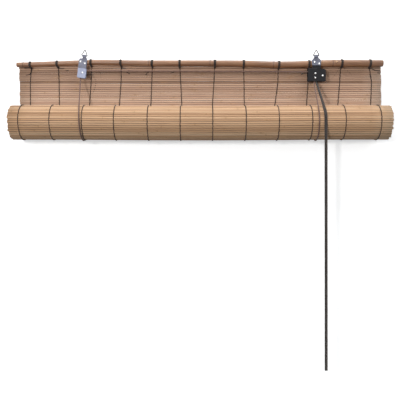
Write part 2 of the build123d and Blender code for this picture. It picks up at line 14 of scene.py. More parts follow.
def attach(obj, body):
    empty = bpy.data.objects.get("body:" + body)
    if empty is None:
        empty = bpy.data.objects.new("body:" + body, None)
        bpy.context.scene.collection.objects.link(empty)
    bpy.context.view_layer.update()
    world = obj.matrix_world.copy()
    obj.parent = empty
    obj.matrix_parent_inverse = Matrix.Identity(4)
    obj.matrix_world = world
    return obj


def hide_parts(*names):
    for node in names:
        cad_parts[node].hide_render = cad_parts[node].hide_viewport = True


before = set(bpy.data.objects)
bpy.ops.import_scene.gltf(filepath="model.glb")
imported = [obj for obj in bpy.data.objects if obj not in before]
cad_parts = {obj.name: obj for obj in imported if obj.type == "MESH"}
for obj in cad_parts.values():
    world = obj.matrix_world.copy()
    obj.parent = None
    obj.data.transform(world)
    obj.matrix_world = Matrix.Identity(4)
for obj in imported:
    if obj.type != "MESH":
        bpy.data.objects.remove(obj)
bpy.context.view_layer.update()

log = logging.getLogger("blind")
MM = 0.001
Point = tuple[float, float, float]
Colour = tuple[float, float, float, float]


class Body(Enum):
    """The CAD bodies that pieces ride on."""

    BLIND = "blind"


class Slot(Enum):
    """Material slot names. No piece here takes its finish from them."""

    SLATS = "bamboo_slats"
    CANE = "cane"
    THREAD = "warp_thread"
    LIFT_CORD = "lift_cord"
    PULL_CORD = "pull_cord"


def tint(code: str) -> Colour:
    """A colour written as six hex digits, as the linear values that shaders take.

    Args:
        code: The colour's six hex digits, without a mark before them.

    Returns:
        Red, green and blue as linear values, and an opacity of 1.
    """
    channels = [int(code[i:i + 2], 16) / 255 for i in (0, 2, 4)]
    linear = [c / 12.92 if c <= 0.04045 else ((c + 0.055) / 1.055) ** 2.4 for c in channels]
    return (linear[0], linear[1], linear[2], 1.0)


def between(stations: list[tuple[float, float]], place: float) -> float:
    """A value read off straight lines between stations.

    Args:
        stations: Pairs of place and value, in order of place.
        place: Where to read.

    Returns:
        The value there, or the nearest end's value outside the stations.
    """
    if place <= stations[0][0]:
        return stations[0][1]
    for (a, low), (b, high) in zip(stations, stations[1:]):
        if place <= b:
            return low + (high - low) * (place - a) / (b - a)
    return stations[-1][1]


@dataclass(frozen=True)
class MatLine:
    """The line that the slat mat follows: straight down, then wound into the roll."""

    top: float = -40.5 * MM
    middle: float = 27.98 * MM
    axis_z: float = -239.5 * MM
    roll_radius: float = 57.2 * MM
    thickness: float = 2.4 * MM
    pitch: float = 6.95 * MM
    drop: float = 1800 * MM
    core: float = 16.8 * MM
    half_width: float = 600 * MM
    lead: float = 0.5 * MM

    @property
    def turn_radius(self) -> float:
        """The radius of the outer turn's middle line."""
        return self.roll_radius - self.thickness / 2

    @property
    def axis_y(self) -> float:
        """Where the roll's axis lies in depth."""
        return self.middle - self.turn_radius

    @property
    def straight(self) -> float:
        """The height of the flat part."""
        return self.top - self.axis_z

    @property
    def turn_pitch(self) -> float:
        """The distance from one turn to the next."""
        return pi * (self.turn_radius**2 - self.core**2) / (self.drop - self.straight)

    @property
    def slat_count(self) -> int:
        """The number of slats in the whole drop."""
        return int(self.drop // self.pitch)

    @property
    def flat_count(self) -> int:
        """The number of slats in the flat part."""
        return int(self.straight // self.pitch)

    def slat_middle(self, number: int) -> float:
        """How far down the mat a slat's middle is. The first slat starts a little above the top."""
        return (number + 0.5) * self.pitch - self.lead

    def angle(self, distance: float) -> float:
        """The angle turned round the roll at a distance down the mat, in radians.

        Args:
            distance: How far down the mat.

        Returns:
            The angle from the roll's back, or 0 on the flat part.
        """
        if distance <= self.straight:
            return 0.0
        wound = self.turn_pitch * (distance - self.straight) / pi
        root = sqrt(max(0.0, self.turn_radius**2 - wound))
        return (self.turn_radius - root) * 2 * pi / self.turn_pitch

    def place(self, distance: float, offset: float) -> tuple[float, float]:
        """A depth and height beside the mat's middle line.

        Args:
            distance: How far down the mat.
            offset: How far to its back, which is the roll's outside.

        Returns:
            The Y and Z there.
        """
        if distance <= self.straight:
            return self.middle + offset, self.top - distance
        turned = self.angle(distance)
        radius = self.turn_radius - self.turn_pitch * turned / (2 * pi) + offset
        return self.axis_y + radius * cos(turned), self.axis_z - radius * sin(turned)

    def sag(self, x: float, distance: float) -> float:
        """How far the middle of the mat hangs lower than its ends."""
        share = min(1.0, distance / self.straight)
        return 2.6 * MM * share * max(0.0, 1 - (x / (0.7 * self.half_width)) ** 2)


class Sheet:
    """A node tree with short calls that add nodes and join them."""

    def __init__(self, tree: bpy.types.NodeTree) -> None:
        """Takes the tree of a material or of a group."""
        self.tree = tree
        self.step = 0

    def add(self, kind: str, **settings: object) -> bpy.types.Node:
        """Adds a node and sets its plain settings.

        Args:
            kind: The node's type name.
            **settings: Attributes of the node.

        Returns:
            The node.
        """
        node = self.tree.nodes.new(kind)
        node.location = (self.step * 180, 0)
        self.step += 1
        for name, value in settings.items():
            setattr(node, name, value)
        return node

    def feed(self, socket: bpy.types.NodeSocket, source: object) -> None:
        """Joins a socket to another node's output, or sets its value.

        Args:
            socket: The input.
            source: An output of another node, or a plain value.
        """
        if isinstance(source, bpy.types.NodeSocket):
            self.tree.links.new(source, socket)
        else:
            socket.default_value = source

    def maths(self, operation: str, a: object, b: object = 0.0, c: object = 0.0,
              clamp: bool = False) -> bpy.types.NodeSocket:
        """A maths node on up to three inputs, and its output.

        Args:
            operation: The node's operation.
            a: The first input, a socket or a value.
            b: The second input.
            c: The third input.
            clamp: Whether the result is held from 0 to 1.

        Returns:
            The node's output.
        """
        node = self.add("ShaderNodeMath", operation=operation, use_clamp=clamp)
        for socket, source in zip(node.inputs, (a, b, c)):
            self.feed(socket, source)
        return node.outputs[0]

    def blend(self, share: object, a: object, b: object) -> bpy.types.NodeSocket:
        """A mix of two colours, and its output.

        Args:
            share: How much of the second colour shows.
            a: The first colour.
            b: The second colour.

        Returns:
            The mixed colour.
        """
        node = self.add("ShaderNodeMix", data_type="RGBA")
        for index, source in ((0, share), (6, a), (7, b)):
            self.feed(node.inputs[index], source)
        return node.outputs[2]

    def ramp(self, source: object, stops: list[tuple[float, Colour]]) -> bpy.types.NodeSocket:
        """A colour ramp with the stops given, and its output.

        Args:
            source: The value that the ramp reads.
            stops: Place and colour of each stop, in order.

        Returns:
            The ramp's colour.
        """
        node = self.add("ShaderNodeValToRGB")
        self.feed(node.inputs[0], source)
        elements = node.color_ramp.elements
        while len(elements) > 1:
            elements.remove(elements[-1])
        elements[0].position, elements[0].color = stops[0]
        for place, colour in stops[1:]:
            elements.new(place).color = colour
        return node.outputs[0]

    def range(self, source: object, low: float, high: float, to_low: float = 0.0,
              to_high: float = 1.0, smooth: bool = False) -> bpy.types.NodeSocket:
        """A value carried from one range to another, held at its ends.

        Args:
            source: The value.
            low: Where the first range starts.
            high: Where the first range ends.
            to_low: Where the second range starts.
            to_high: Where the second range ends.
            smooth: Whether both ends are eased.

        Returns:
            The carried value.
        """
        node = self.add("ShaderNodeMapRange", clamp=True)
        if smooth:
            node.interpolation_type = "SMOOTHSTEP"
        for socket, value in zip(node.inputs, (source, low, high, to_low, to_high)):
            self.feed(socket, value)
        return node.outputs[0]

    def noise(self, vector: object, scale: float, detail: float = 3.0) -> bpy.types.NodeSocket:
        """A noise texture's value.

        Args:
            vector: Where the noise is read.
            scale: How fine the noise is.
            detail: How many finer layers it has.

        Returns:
            The noise's value.
        """
        node = self.add("ShaderNodeTexNoise")
        self.feed(node.inputs["Vector"], vector)
        node.inputs["Scale"].default_value = scale
        node.inputs["Detail"].default_value = detail
        node.inputs["Roughness"].default_value = 0.55
        return node.outputs["Fac"]

    def stretch(self, vector: object, scale: Point) -> bpy.types.NodeSocket:
        """A vector scaled by its own amount along each axis.

        Args:
            vector: The vector.
            scale: The amounts along X, Y and Z.

        Returns:
            The scaled vector.
        """
        node = self.add("ShaderNodeMapping")
        self.feed(node.inputs["Vector"], vector)
        node.inputs["Scale"].default_value = scale
        return node.outputs["Vector"]


@dataclass
class SharedEffects:
    """Shader groups that several finishes use, each made once."""

    made: dict[str, bpy.types.NodeTree] = field(default_factory=dict)

    def group(self, name: str, ins: list[tuple[str, str, float]],
              outs: list[tuple[str, str]]) -> tuple[bpy.types.NodeTree, Sheet]:
        """Starts a group with named sockets.

        Args:
            name: The group's name.
            ins: Name, socket type and starting value of each input.
            outs: Name and socket type of each output.

        Returns:
            The group's tree and a sheet to build it on.
        """
        tree = bpy.data.node_groups.new(name, "ShaderNodeTree")
        for label, kind, value in ins:
            socket = tree.interface.new_socket(label, in_out="INPUT", socket_type=kind)
            if kind == "NodeSocketFloat":
                socket.default_value = value
        for label, kind in outs:
            tree.interface.new_socket(label, in_out="OUTPUT", socket_type=kind)
        return tree, Sheet(tree)

    def fibre(self) -> bpy.types.NodeTree:
        """Long grain that runs along X: a tone and a height.

        Returns:
            The group.
        """
        if "fibre" not in self.made:
            tree, sheet = self.group(
                "fibre_grain",
                [("Vector", "NodeSocketVector", 0.0), ("Fineness", "NodeSocketFloat", 1.0)],
                [("Tone", "NodeSocketFloat"), ("Height", "NodeSocketFloat")])
            inside = sheet.add("NodeGroupInput")
            outside = sheet.add("NodeGroupOutput")
            scaled = sheet.add("ShaderNodeVectorMath", operation="SCALE")
            sheet.feed(scaled.inputs[0], inside.outputs["Vector"])
            sheet.feed(scaled.inputs["Scale"], inside.outputs["Fineness"])
            fine = sheet.noise(sheet.stretch(scaled.outputs[0], (14, 1500, 1500)), 1.0, 3.0)
            broad = sheet.noise(sheet.stretch(scaled.outputs[0], (3.2, 260, 260)), 1.0, 2.0)
            tone = sheet.maths("MULTIPLY_ADD", fine, 0.45, sheet.maths("MULTIPLY", broad, 0.55))
            sheet.feed(outside.inputs["Tone"], tone)
            sheet.feed(outside.inputs["Height"], fine)
            self.made["fibre"] = tree
        return self.made["fibre"]

    def wear(self) -> bpy.types.NodeTree:
        """Handling marks on metal: dull smudges and fine scratches.

        Returns:
            The group.
        """
        if "wear" not in self.made:
            tree, sheet = self.group(
                "metal_marks",
                [("Vector", "NodeSocketVector", 0.0), ("Amount", "NodeSocketFloat", 0.5)],
                [("Mask", "NodeSocketFloat"), ("Height", "NodeSocketFloat")])
            inside = sheet.add("NodeGroupInput")
            outside = sheet.add("NodeGroupOutput")
            vector = inside.outputs["Vector"]
            smudge = sheet.range(sheet.noise(vector, 130, 4.0), 0.42, 0.68)
            fine = sheet.noise(sheet.stretch(vector, (2600, 900, 260)), 1.0, 2.0)
            scratch = sheet.range(fine, 0.62, 0.74)
            both = sheet.maths("MAXIMUM", smudge, scratch)
            mask = sheet.maths("MULTIPLY", both, inside.outputs["Amount"], clamp=True)
            height = sheet.maths("SUBTRACT", sheet.noise(vector, 700, 3.0), scratch)
            sheet.feed(outside.inputs["Mask"], mask)
            sheet.feed(outside.inputs["Height"], height)
            self.made["wear"] = tree
        return self.made["wear"]

    def plait(self) -> bpy.types.NodeTree:
        """Strands that cross over a cord, from its unwrapped length and girth.

        Returns:
            The group.
        """
        if "plait" not in self.made:
            tree, sheet = self.group(
                "plaited_strands",
                [("Vector", "NodeSocketVector", 0.0), ("Around", "NodeSocketFloat", 4.0),
                 ("Lean", "NodeSocketFloat", 1.0)],
                [("Height", "NodeSocketFloat"), ("Tone", "NodeSocketFloat")])
            inside = sheet.add("NodeGroupInput")
            outside = sheet.add("NodeGroupOutput")
            parts = sheet.add("ShaderNodeSeparateXYZ")
            sheet.feed(parts.inputs[0], inside.outputs["Vector"])
            along = parts.outputs[0]
            round_it = sheet.maths("MULTIPLY", parts.outputs[1], inside.outputs["Around"])
            leant = sheet.maths("MULTIPLY", along, inside.outputs["Lean"])
            waves = []
            for operation in ("ADD", "SUBTRACT"):
                turned = sheet.maths(operation, round_it, leant)
                waves.append(sheet.maths("SINE", sheet.maths("MULTIPLY", turned, 2 * pi)))
            over = sheet.maths("MAXIMUM", waves[0], waves[1])
            height = sheet.maths("MULTIPLY_ADD", over, 0.5, 0.5)
            sheet.feed(outside.inputs["Height"], height)
            # Tone is darker where the strands dip: painted shade in the hollows between strands.
            sheet.feed(outside.inputs["Tone"], sheet.range(height, 0.35, 0.95))
            self.made["plait"] = tree
        return self.made["plait"]

    def use(self, sheet: Sheet, tree: bpy.types.NodeTree, **values: object) -> bpy.types.Node:
        """Places a group in a material with its own values.

        Args:
            sheet: The material's sheet.
            tree: The group.
            **values: A value or an output for each of its inputs.

        Returns:
            The group's node.
        """
        node = sheet.add("ShaderNodeGroup", node_tree=tree)
        for name, value in values.items():
            sheet.feed(node.inputs[name], value)
        return node


effects = SharedEffects()


@dataclass(frozen=True)
class Finish:
    """The ground that every finish stands on."""

    name: str

    def start(self) -> tuple[bpy.types.Material, Sheet, bpy.types.Node, bpy.types.NodeSocket]:
        """Makes an empty material.

        Returns:
            The material, its sheet, its main shader and its Object coordinates.
        """
        material = bpy.data.materials.new(self.name)
        material.use_nodes = True
        material.node_tree.nodes.clear()
        sheet = Sheet(material.node_tree)
        shader = sheet.add("ShaderNodeBsdfPrincipled")
        ground = sheet.add("ShaderNodeOutputMaterial")
        sheet.feed(ground.inputs["Surface"], shader.outputs["BSDF"])
        where = sheet.add("ShaderNodeTexCoord")
        return material, sheet, shader, where.outputs["Object"]

    def bump(self, sheet: Sheet, shader: bpy.types.Node, height: object, strength: float,
             depth: float) -> None:
        """Gives the shader a bump from a height.

        Args:
            sheet: The material's sheet.
            shader: The main shader.
            height: The output that gives the height.
            strength: How strongly it shows.
            depth: How deep a height of 1 is, in metres.
        """
        node = sheet.add("ShaderNodeBump")
        node.inputs["Strength"].default_value = strength
        node.inputs["Distance"].default_value = depth
        sheet.feed(node.inputs["Height"], height)
        sheet.feed(shader.inputs["Normal"], node.outputs["Normal"])


@dataclass(frozen=True)
class SplitBamboo(Finish):
    """Raw split bamboo: pinkish on the mat's front, warmer on its back, which the roll shows."""

    front: tuple[str, str, str] = ("7a5d49", "bd9a82", "dabda7")
    back: tuple[str, str, str] = ("96704f", "caa27e", "e6c6a4")
    # Painted shade: near-black colour laid along each slat's rounded long edges, where the gaps between slats
    # fall in shade.
    groove: str = "24150c"
    joint_edge: str = "c79a6a"
    joint_line: str = "5f432c"
    roughness: float = 0.62

    def build(self) -> bpy.types.Material:
        """The material, which reads each slat's own tone, joint phase and side, and the painted shade along
        its long edges.

        Returns:
            The material.
        """
        material, sheet, shader, where = self.start()
        mark = sheet.add("ShaderNodeAttribute", attribute_name="slat")
        parts = sheet.add("ShaderNodeSeparateColor")
        sheet.feed(parts.inputs[0], mark.outputs["Color"])
        tone, phase, side = parts.outputs[0], parts.outputs[1], parts.outputs[2]
        grain = effects.use(sheet, effects.fibre(), Vector=where, Fineness=1.0)
        place = sheet.add("ShaderNodeSeparateXYZ")
        sheet.feed(place.inputs[0], where)
        along = sheet.maths("MULTIPLY_ADD", place.outputs[0], 2.6, sheet.maths("MULTIPLY", phase, 7.0))
        nearest = sheet.maths("ABSOLUTE", sheet.maths("SUBTRACT", sheet.maths("FRACT", along), 0.5))
        joint = sheet.range(nearest, 0.002, 0.009, 1.0, 0.0, smooth=True)
        blush = sheet.range(nearest, 0.0, 0.06, 1.0, 0.0, smooth=True)
        # Painted shade in the gaps between slats: the slat layer's alpha marks the rounded long edges, this
        # noise makes it patchy, and the groove colour is laid there.
        patchy = sheet.range(sheet.noise(sheet.stretch(where, (9, 120, 120)), 1.0, 2.0), 0.36, 0.6, 0.6, 1.0)
        groove = sheet.maths("MULTIPLY", mark.outputs["Alpha"], patchy, clamp=True)
        mixed = sheet.maths("MULTIPLY_ADD", grain.outputs["Tone"], 0.62, sheet.maths("MULTIPLY", tone, 0.78))
        level = sheet.maths("SUBTRACT", mixed, 0.20, clamp=True)
        colours = []
        for dark, middle, light in (self.front, self.back):
            colours.append(sheet.ramp(level, [(0.05, tint(dark)), (0.5, tint(middle)), (0.95, tint(light))]))
        colour = sheet.blend(side, colours[0], colours[1])
        colour = sheet.blend(sheet.maths("MULTIPLY", blush, 0.18), colour, tint(self.joint_edge))
        colour = sheet.blend(sheet.maths("MULTIPLY", joint, 0.18), colour, tint(self.joint_line))
        colour = sheet.blend(groove, colour, tint(self.groove))
        sheet.feed(shader.inputs["Base Color"], colour)
        rough = sheet.range(grain.outputs["Tone"], 0.3, 0.7, self.roughness - 0.1, self.roughness + 0.1)
        sheet.feed(shader.inputs["Roughness"], rough)
        shader.inputs["Specular IOR Level"].default_value = 0.32
        height = sheet.maths("ADD", grain.outputs["Height"], sheet.maths("MULTIPLY", joint, 1.4))
        self.bump(sheet, shader, height, 0.5, 0.00035)
        return material


@dataclass(frozen=True)
class SmokedCane(Finish):
    """Heat-darkened cane: orange brown, waxy, with dark rings at its joints."""

    dark: str = "50321f"
    middle: str = "8f674a"
    light: str = "b99272"
    speck: str = "4a2c18"
    joint_ring: str = "452a1a"
    bare_scar: str = "c39c76"
    cut_end: str = "c9a67e"

    def build(self) -> bpy.types.Material:
        """The material, which reads how near a joint or scar each point is.

        Returns:
            The material.
        """
        material, sheet, shader, where = self.start()
        mark = sheet.add("ShaderNodeAttribute", attribute_name="cane")
        parts = sheet.add("ShaderNodeSeparateColor")
        sheet.feed(parts.inputs[0], mark.outputs["Color"])
        ring, scar, cut = parts.outputs[0], parts.outputs[1], parts.outputs[2]
        grain = effects.use(sheet, effects.fibre(), Vector=where, Fineness=0.55)
        cloud = sheet.noise(sheet.stretch(where, (9, 60, 60)), 1.0, 4.0)
        mixed = sheet.maths("MULTIPLY_ADD", cloud, 0.75, sheet.maths("MULTIPLY", grain.outputs["Tone"], 0.45))
        level = sheet.maths("SUBTRACT", mixed, 0.12, clamp=True)
        stops = [(0.1, tint(self.dark)), (0.48, tint(self.middle)), (0.85, tint(self.light))]
        colour = sheet.ramp(level, stops)
        speck = sheet.range(sheet.noise(sheet.stretch(where, (220, 500, 500)), 1.0, 1.0), 0.66, 0.74)
        colour = sheet.blend(sheet.maths("MULTIPLY", speck, 0.35), colour, tint(self.speck))
        colour = sheet.blend(sheet.maths("MULTIPLY", ring, 0.8), colour, tint(self.joint_ring))
        rim = sheet.maths("MULTIPLY", sheet.range(scar, 0.0, 0.12), sheet.range(scar, 0.2, 0.5, 1.0, 0.0))
        colour = sheet.blend(sheet.maths("MULTIPLY", rim, 0.75), colour, tint(self.joint_ring))
        colour = sheet.blend(sheet.range(scar, 0.3, 0.7, 0.0, 0.7), colour, tint(self.bare_scar))
        colour = sheet.blend(cut, colour, tint(self.cut_end))
        sheet.feed(shader.inputs["Base Color"], colour)
        sheet.feed(shader.inputs["Roughness"], sheet.range(cloud, 0.3, 0.7, 0.34, 0.5))
        shader.inputs["Coat Weight"].default_value = 0.15
        shader.inputs["Coat Roughness"].default_value = 0.35
        self.bump(sheet, shader, sheet.maths("ADD", grain.outputs["Height"], cloud), 0.35, 0.0004)
        return material


@dataclass(frozen=True)
class SpunThread(Finish):
    """Dark brown two-ply thread."""

    dark: str = "150d0a"
    light: str = "38261d"

    def build(self) -> bpy.types.Material:
        """The material, with a ply that winds along the unwrapped thread.

        Returns:
            The material.
        """
        material, sheet, shader, where = self.start()
        wrap = sheet.add("ShaderNodeUVMap", uv_map="UVMap")
        ply = effects.use(sheet, effects.plait(), Vector=wrap.outputs["UV"], Around=1.0, Lean=1.0)
        fuzz = sheet.noise(where, 900, 2.0)
        # The ply's tone darkens the thread between its strands: painted shade.
        level = sheet.maths("MULTIPLY", ply.outputs["Tone"], fuzz)
        colour = sheet.ramp(level, [(0.1, tint(self.dark)), (0.6, tint(self.light))])
        sheet.feed(shader.inputs["Base Color"], colour)
        shader.inputs["Roughness"].default_value = 0.8
        shader.inputs["Sheen Weight"].default_value = 0.15
        self.bump(sheet, shader, ply.outputs["Height"], 0.5, 0.0004)
        return material


@dataclass(frozen=True)
class BraidedCord(Finish):
    """Braided cord with a flecked yarn."""

    dark: str = "3f3733"
    light: str = "7d706a"
    fleck: str = "a39389"

    def build(self) -> bpy.types.Material:
        """The material, with strands that cross on the unwrapped cord.

        Returns:
            The material.
        """
        material, sheet, shader, where = self.start()
        wrap = sheet.add("ShaderNodeUVMap", uv_map="UVMap")
        braid = effects.use(sheet, effects.plait(), Vector=wrap.outputs["UV"], Around=4.0, Lean=1.0)
        fuzz = sheet.noise(where, 1400, 2.0)
        patch = sheet.range(sheet.noise(sheet.stretch(where, (320, 320, 90)), 1.0, 2.0), 0.5, 0.66)
        # The braid's tone darkens the cord between its strands: painted shade.
        colour = sheet.ramp(sheet.maths("MULTIPLY", braid.outputs["Tone"], sheet.maths("ADD", fuzz, 0.4)),
                            [(0.05, tint(self.dark)), (0.75, tint(self.light))])
        colour = sheet.blend(sheet.maths("MULTIPLY", patch, 0.35), colour, tint(self.fleck))
        sheet.feed(shader.inputs["Base Color"], colour)
        shader.inputs["Roughness"].default_value = 0.85
        shader.inputs["Sheen Weight"].default_value = 0.2
        self.bump(sheet, shader, braid.outputs["Height"], 0.7, 0.0006)
        return material


@dataclass(frozen=True)
class WornMetal(Finish):
    """Metal with smudges and scratches over its plating or paint."""

    base: str
    marked: str
    metallic: float
    roughness: float
    amount: float = 0.5
    depth: float = 0.00015
    shine: float = 0.5

    def build(self) -> bpy.types.Material:
        """The material.

        Returns:
            The material.
        """
        material, sheet, shader, where = self.start()
        marks = effects.use(sheet, effects.wear(), Vector=where, Amount=self.amount)
        cloud = sheet.noise(where, 60, 3.0)
        shade = sheet.blend(sheet.range(cloud, 0.35, 0.65, 0.0, 0.35), tint(self.base), tint(self.marked))
        sheet.feed(shader.inputs["Base Color"], sheet.blend(marks.outputs["Mask"], shade, tint(self.marked)))
        shader.inputs["Metallic"].default_value = self.metallic
        shader.inputs["Specular IOR Level"].default_value = self.shine
        low, high = self.roughness, min(1.0, self.roughness + 0.22)
        sheet.feed(shader.inputs["Roughness"], sheet.range(marks.outputs["Mask"], 0.0, 1.0, low, high))
        self.bump(sheet, shader, marks.outputs["Height"], 0.4, self.depth)
        return material


@dataclass
class Finishes:
    """Every finish on the blind, made once."""

    slats: bpy.types.Material
    cane: bpy.types.Material
    thread: bpy.types.Material
    lift_cord: bpy.types.Material
    pull_cords: tuple[bpy.types.Material, bpy.types.Material]
    metals: dict[str, bpy.types.Material]

    @classmethod
    def make(cls) -> "Finishes":
        """Builds all the materials.

        Returns:
            The finishes, each with its material.
        """
        metals = {
            "plate": WornMetal("plate_zinc", "5d5e6c", "7d7f8e", 0.45, 0.5),
            "case": WornMetal("case_zinc", "7d8297", "9fa5ba", 0.45, 0.48),
            "wire": WornMetal("ring_wire", "262322", "443f3d", 0.2, 0.45),
            "bright": WornMetal("bright_steel", "e4e4e4", "f4f4f2", 0.85, 0.25, 0.3),
            "black": WornMetal("black_enamel", "121114", "1e1c20", 0.0, 0.55, 0.35, 0.0001, 0.22),
            "brass": WornMetal("turned_brass", "b08d4a", "8d6f38", 0.95, 0.3),
            "pawl": WornMetal("pressed_steel", "77777a", "97979c", 0.85, 0.4),
        }
        return cls(
            slats=SplitBamboo("split_bamboo").build(),
            cane=SmokedCane("smoked_cane").build(),
            thread=SpunThread("spun_thread").build(),
            lift_cord=BraidedCord("lift_cord", "46312a", "7d6157", "977d72").build(),
            pull_cords=(BraidedCord("darker_pull_cord", "15100f", "2c2522", "3b332f").build(),
                        BraidedCord("lighter_pull_cord", "1e1816", "443a35", "584c46").build()),
            metals={name: finish.build() for name, finish in metals.items()},
        )


def piece_from(mesh_source: object, name: str, material: bpy.types.Material,
               replaced: tuple[str, ...]) -> bpy.types.Object:
    """Makes a finished object that rides on the blind.

    Args:
        mesh_source: A bmesh, which is freed, or a mesh.
        name: The piece's name.
        material: Its material.
        replaced: CAD nodes that the piece stands for.

    Returns:
        The object.
    """
    if isinstance(mesh_source, bmesh.types.BMesh):
        mesh = bpy.data.meshes.new(name)
        mesh_source.to_mesh(mesh)
        mesh_source.free()
    else:
        mesh = mesh_source
        mesh.name = name
    mesh.materials.clear()
    mesh.materials.append(material)
    mesh.shade_smooth()
    piece = bpy.data.objects.new(name, mesh)
    bpy.context.scene.collection.objects.link(piece)
    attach(piece, Body.BLIND.value)
    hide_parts(*replaced)
    return piece


def bare_line(points: list[Point], closed: bool = False, steps: int = 6,
              radius: float = 0.0, sides: int = 1) -> bpy.types.Mesh:
    """A smooth line through control points, as a mesh: a tube if it has a radius.

    Args:
        points: Control points of one spline.
        closed: Whether the line joins its own start.
        steps: Points for each span of the spline.
        radius: The tube's radius.
        sides: How round the tube is: 1 gives six sides, 4 gives twelve.

    Returns:
        The mesh. A tube has a UV map, along and round it.
    """
    curve = bpy.data.curves.new("line", "CURVE")
    curve.dimensions = "3D"
    curve.resolution_u = steps
    curve.bevel_depth = radius
    curve.bevel_resolution = sides
    curve.use_fill_caps = not closed
    spline = curve.splines.new("NURBS")
    spline.points.add(len(points) - 1)
    for target, point in zip(spline.points, points):
        target.co = (*point, 1.0)
    spline.order_u = 3
    spline.use_cyclic_u = closed
    spline.use_endpoint_u = not closed
    holder = bpy.data.objects.new("line", curve)
    mesh = bpy.data.meshes.new_from_object(holder)
    bpy.data.objects.remove(holder)
    bpy.data.curves.remove(curve)
    return mesh


def line_points(points: list[Point], steps: int = 6) -> list[Vector]:
    """Points along the smooth line of a route.

    Args:
        points: Control points of the route.
        steps: Points for each span of the spline.

    Returns:
        The points, from the route's start to its end.
    """
    mesh = bare_line(points, steps=steps)
    found = [vertex.co.copy() for vertex in mesh.vertices]
    bpy.data.meshes.remove(mesh)
    return found


def stretch_wrap(mesh: bpy.types.Mesh, per_length: float) -> None:
    """Scales a tube's UV map so that its pattern repeats at a real pitch along it.

    Args:
        mesh: The tube's mesh.
        per_length: How often the pattern repeats along it.
    """
    for layer in mesh.uv_layers:
        for corner in layer.data:
            corner.uv.x *= per_length


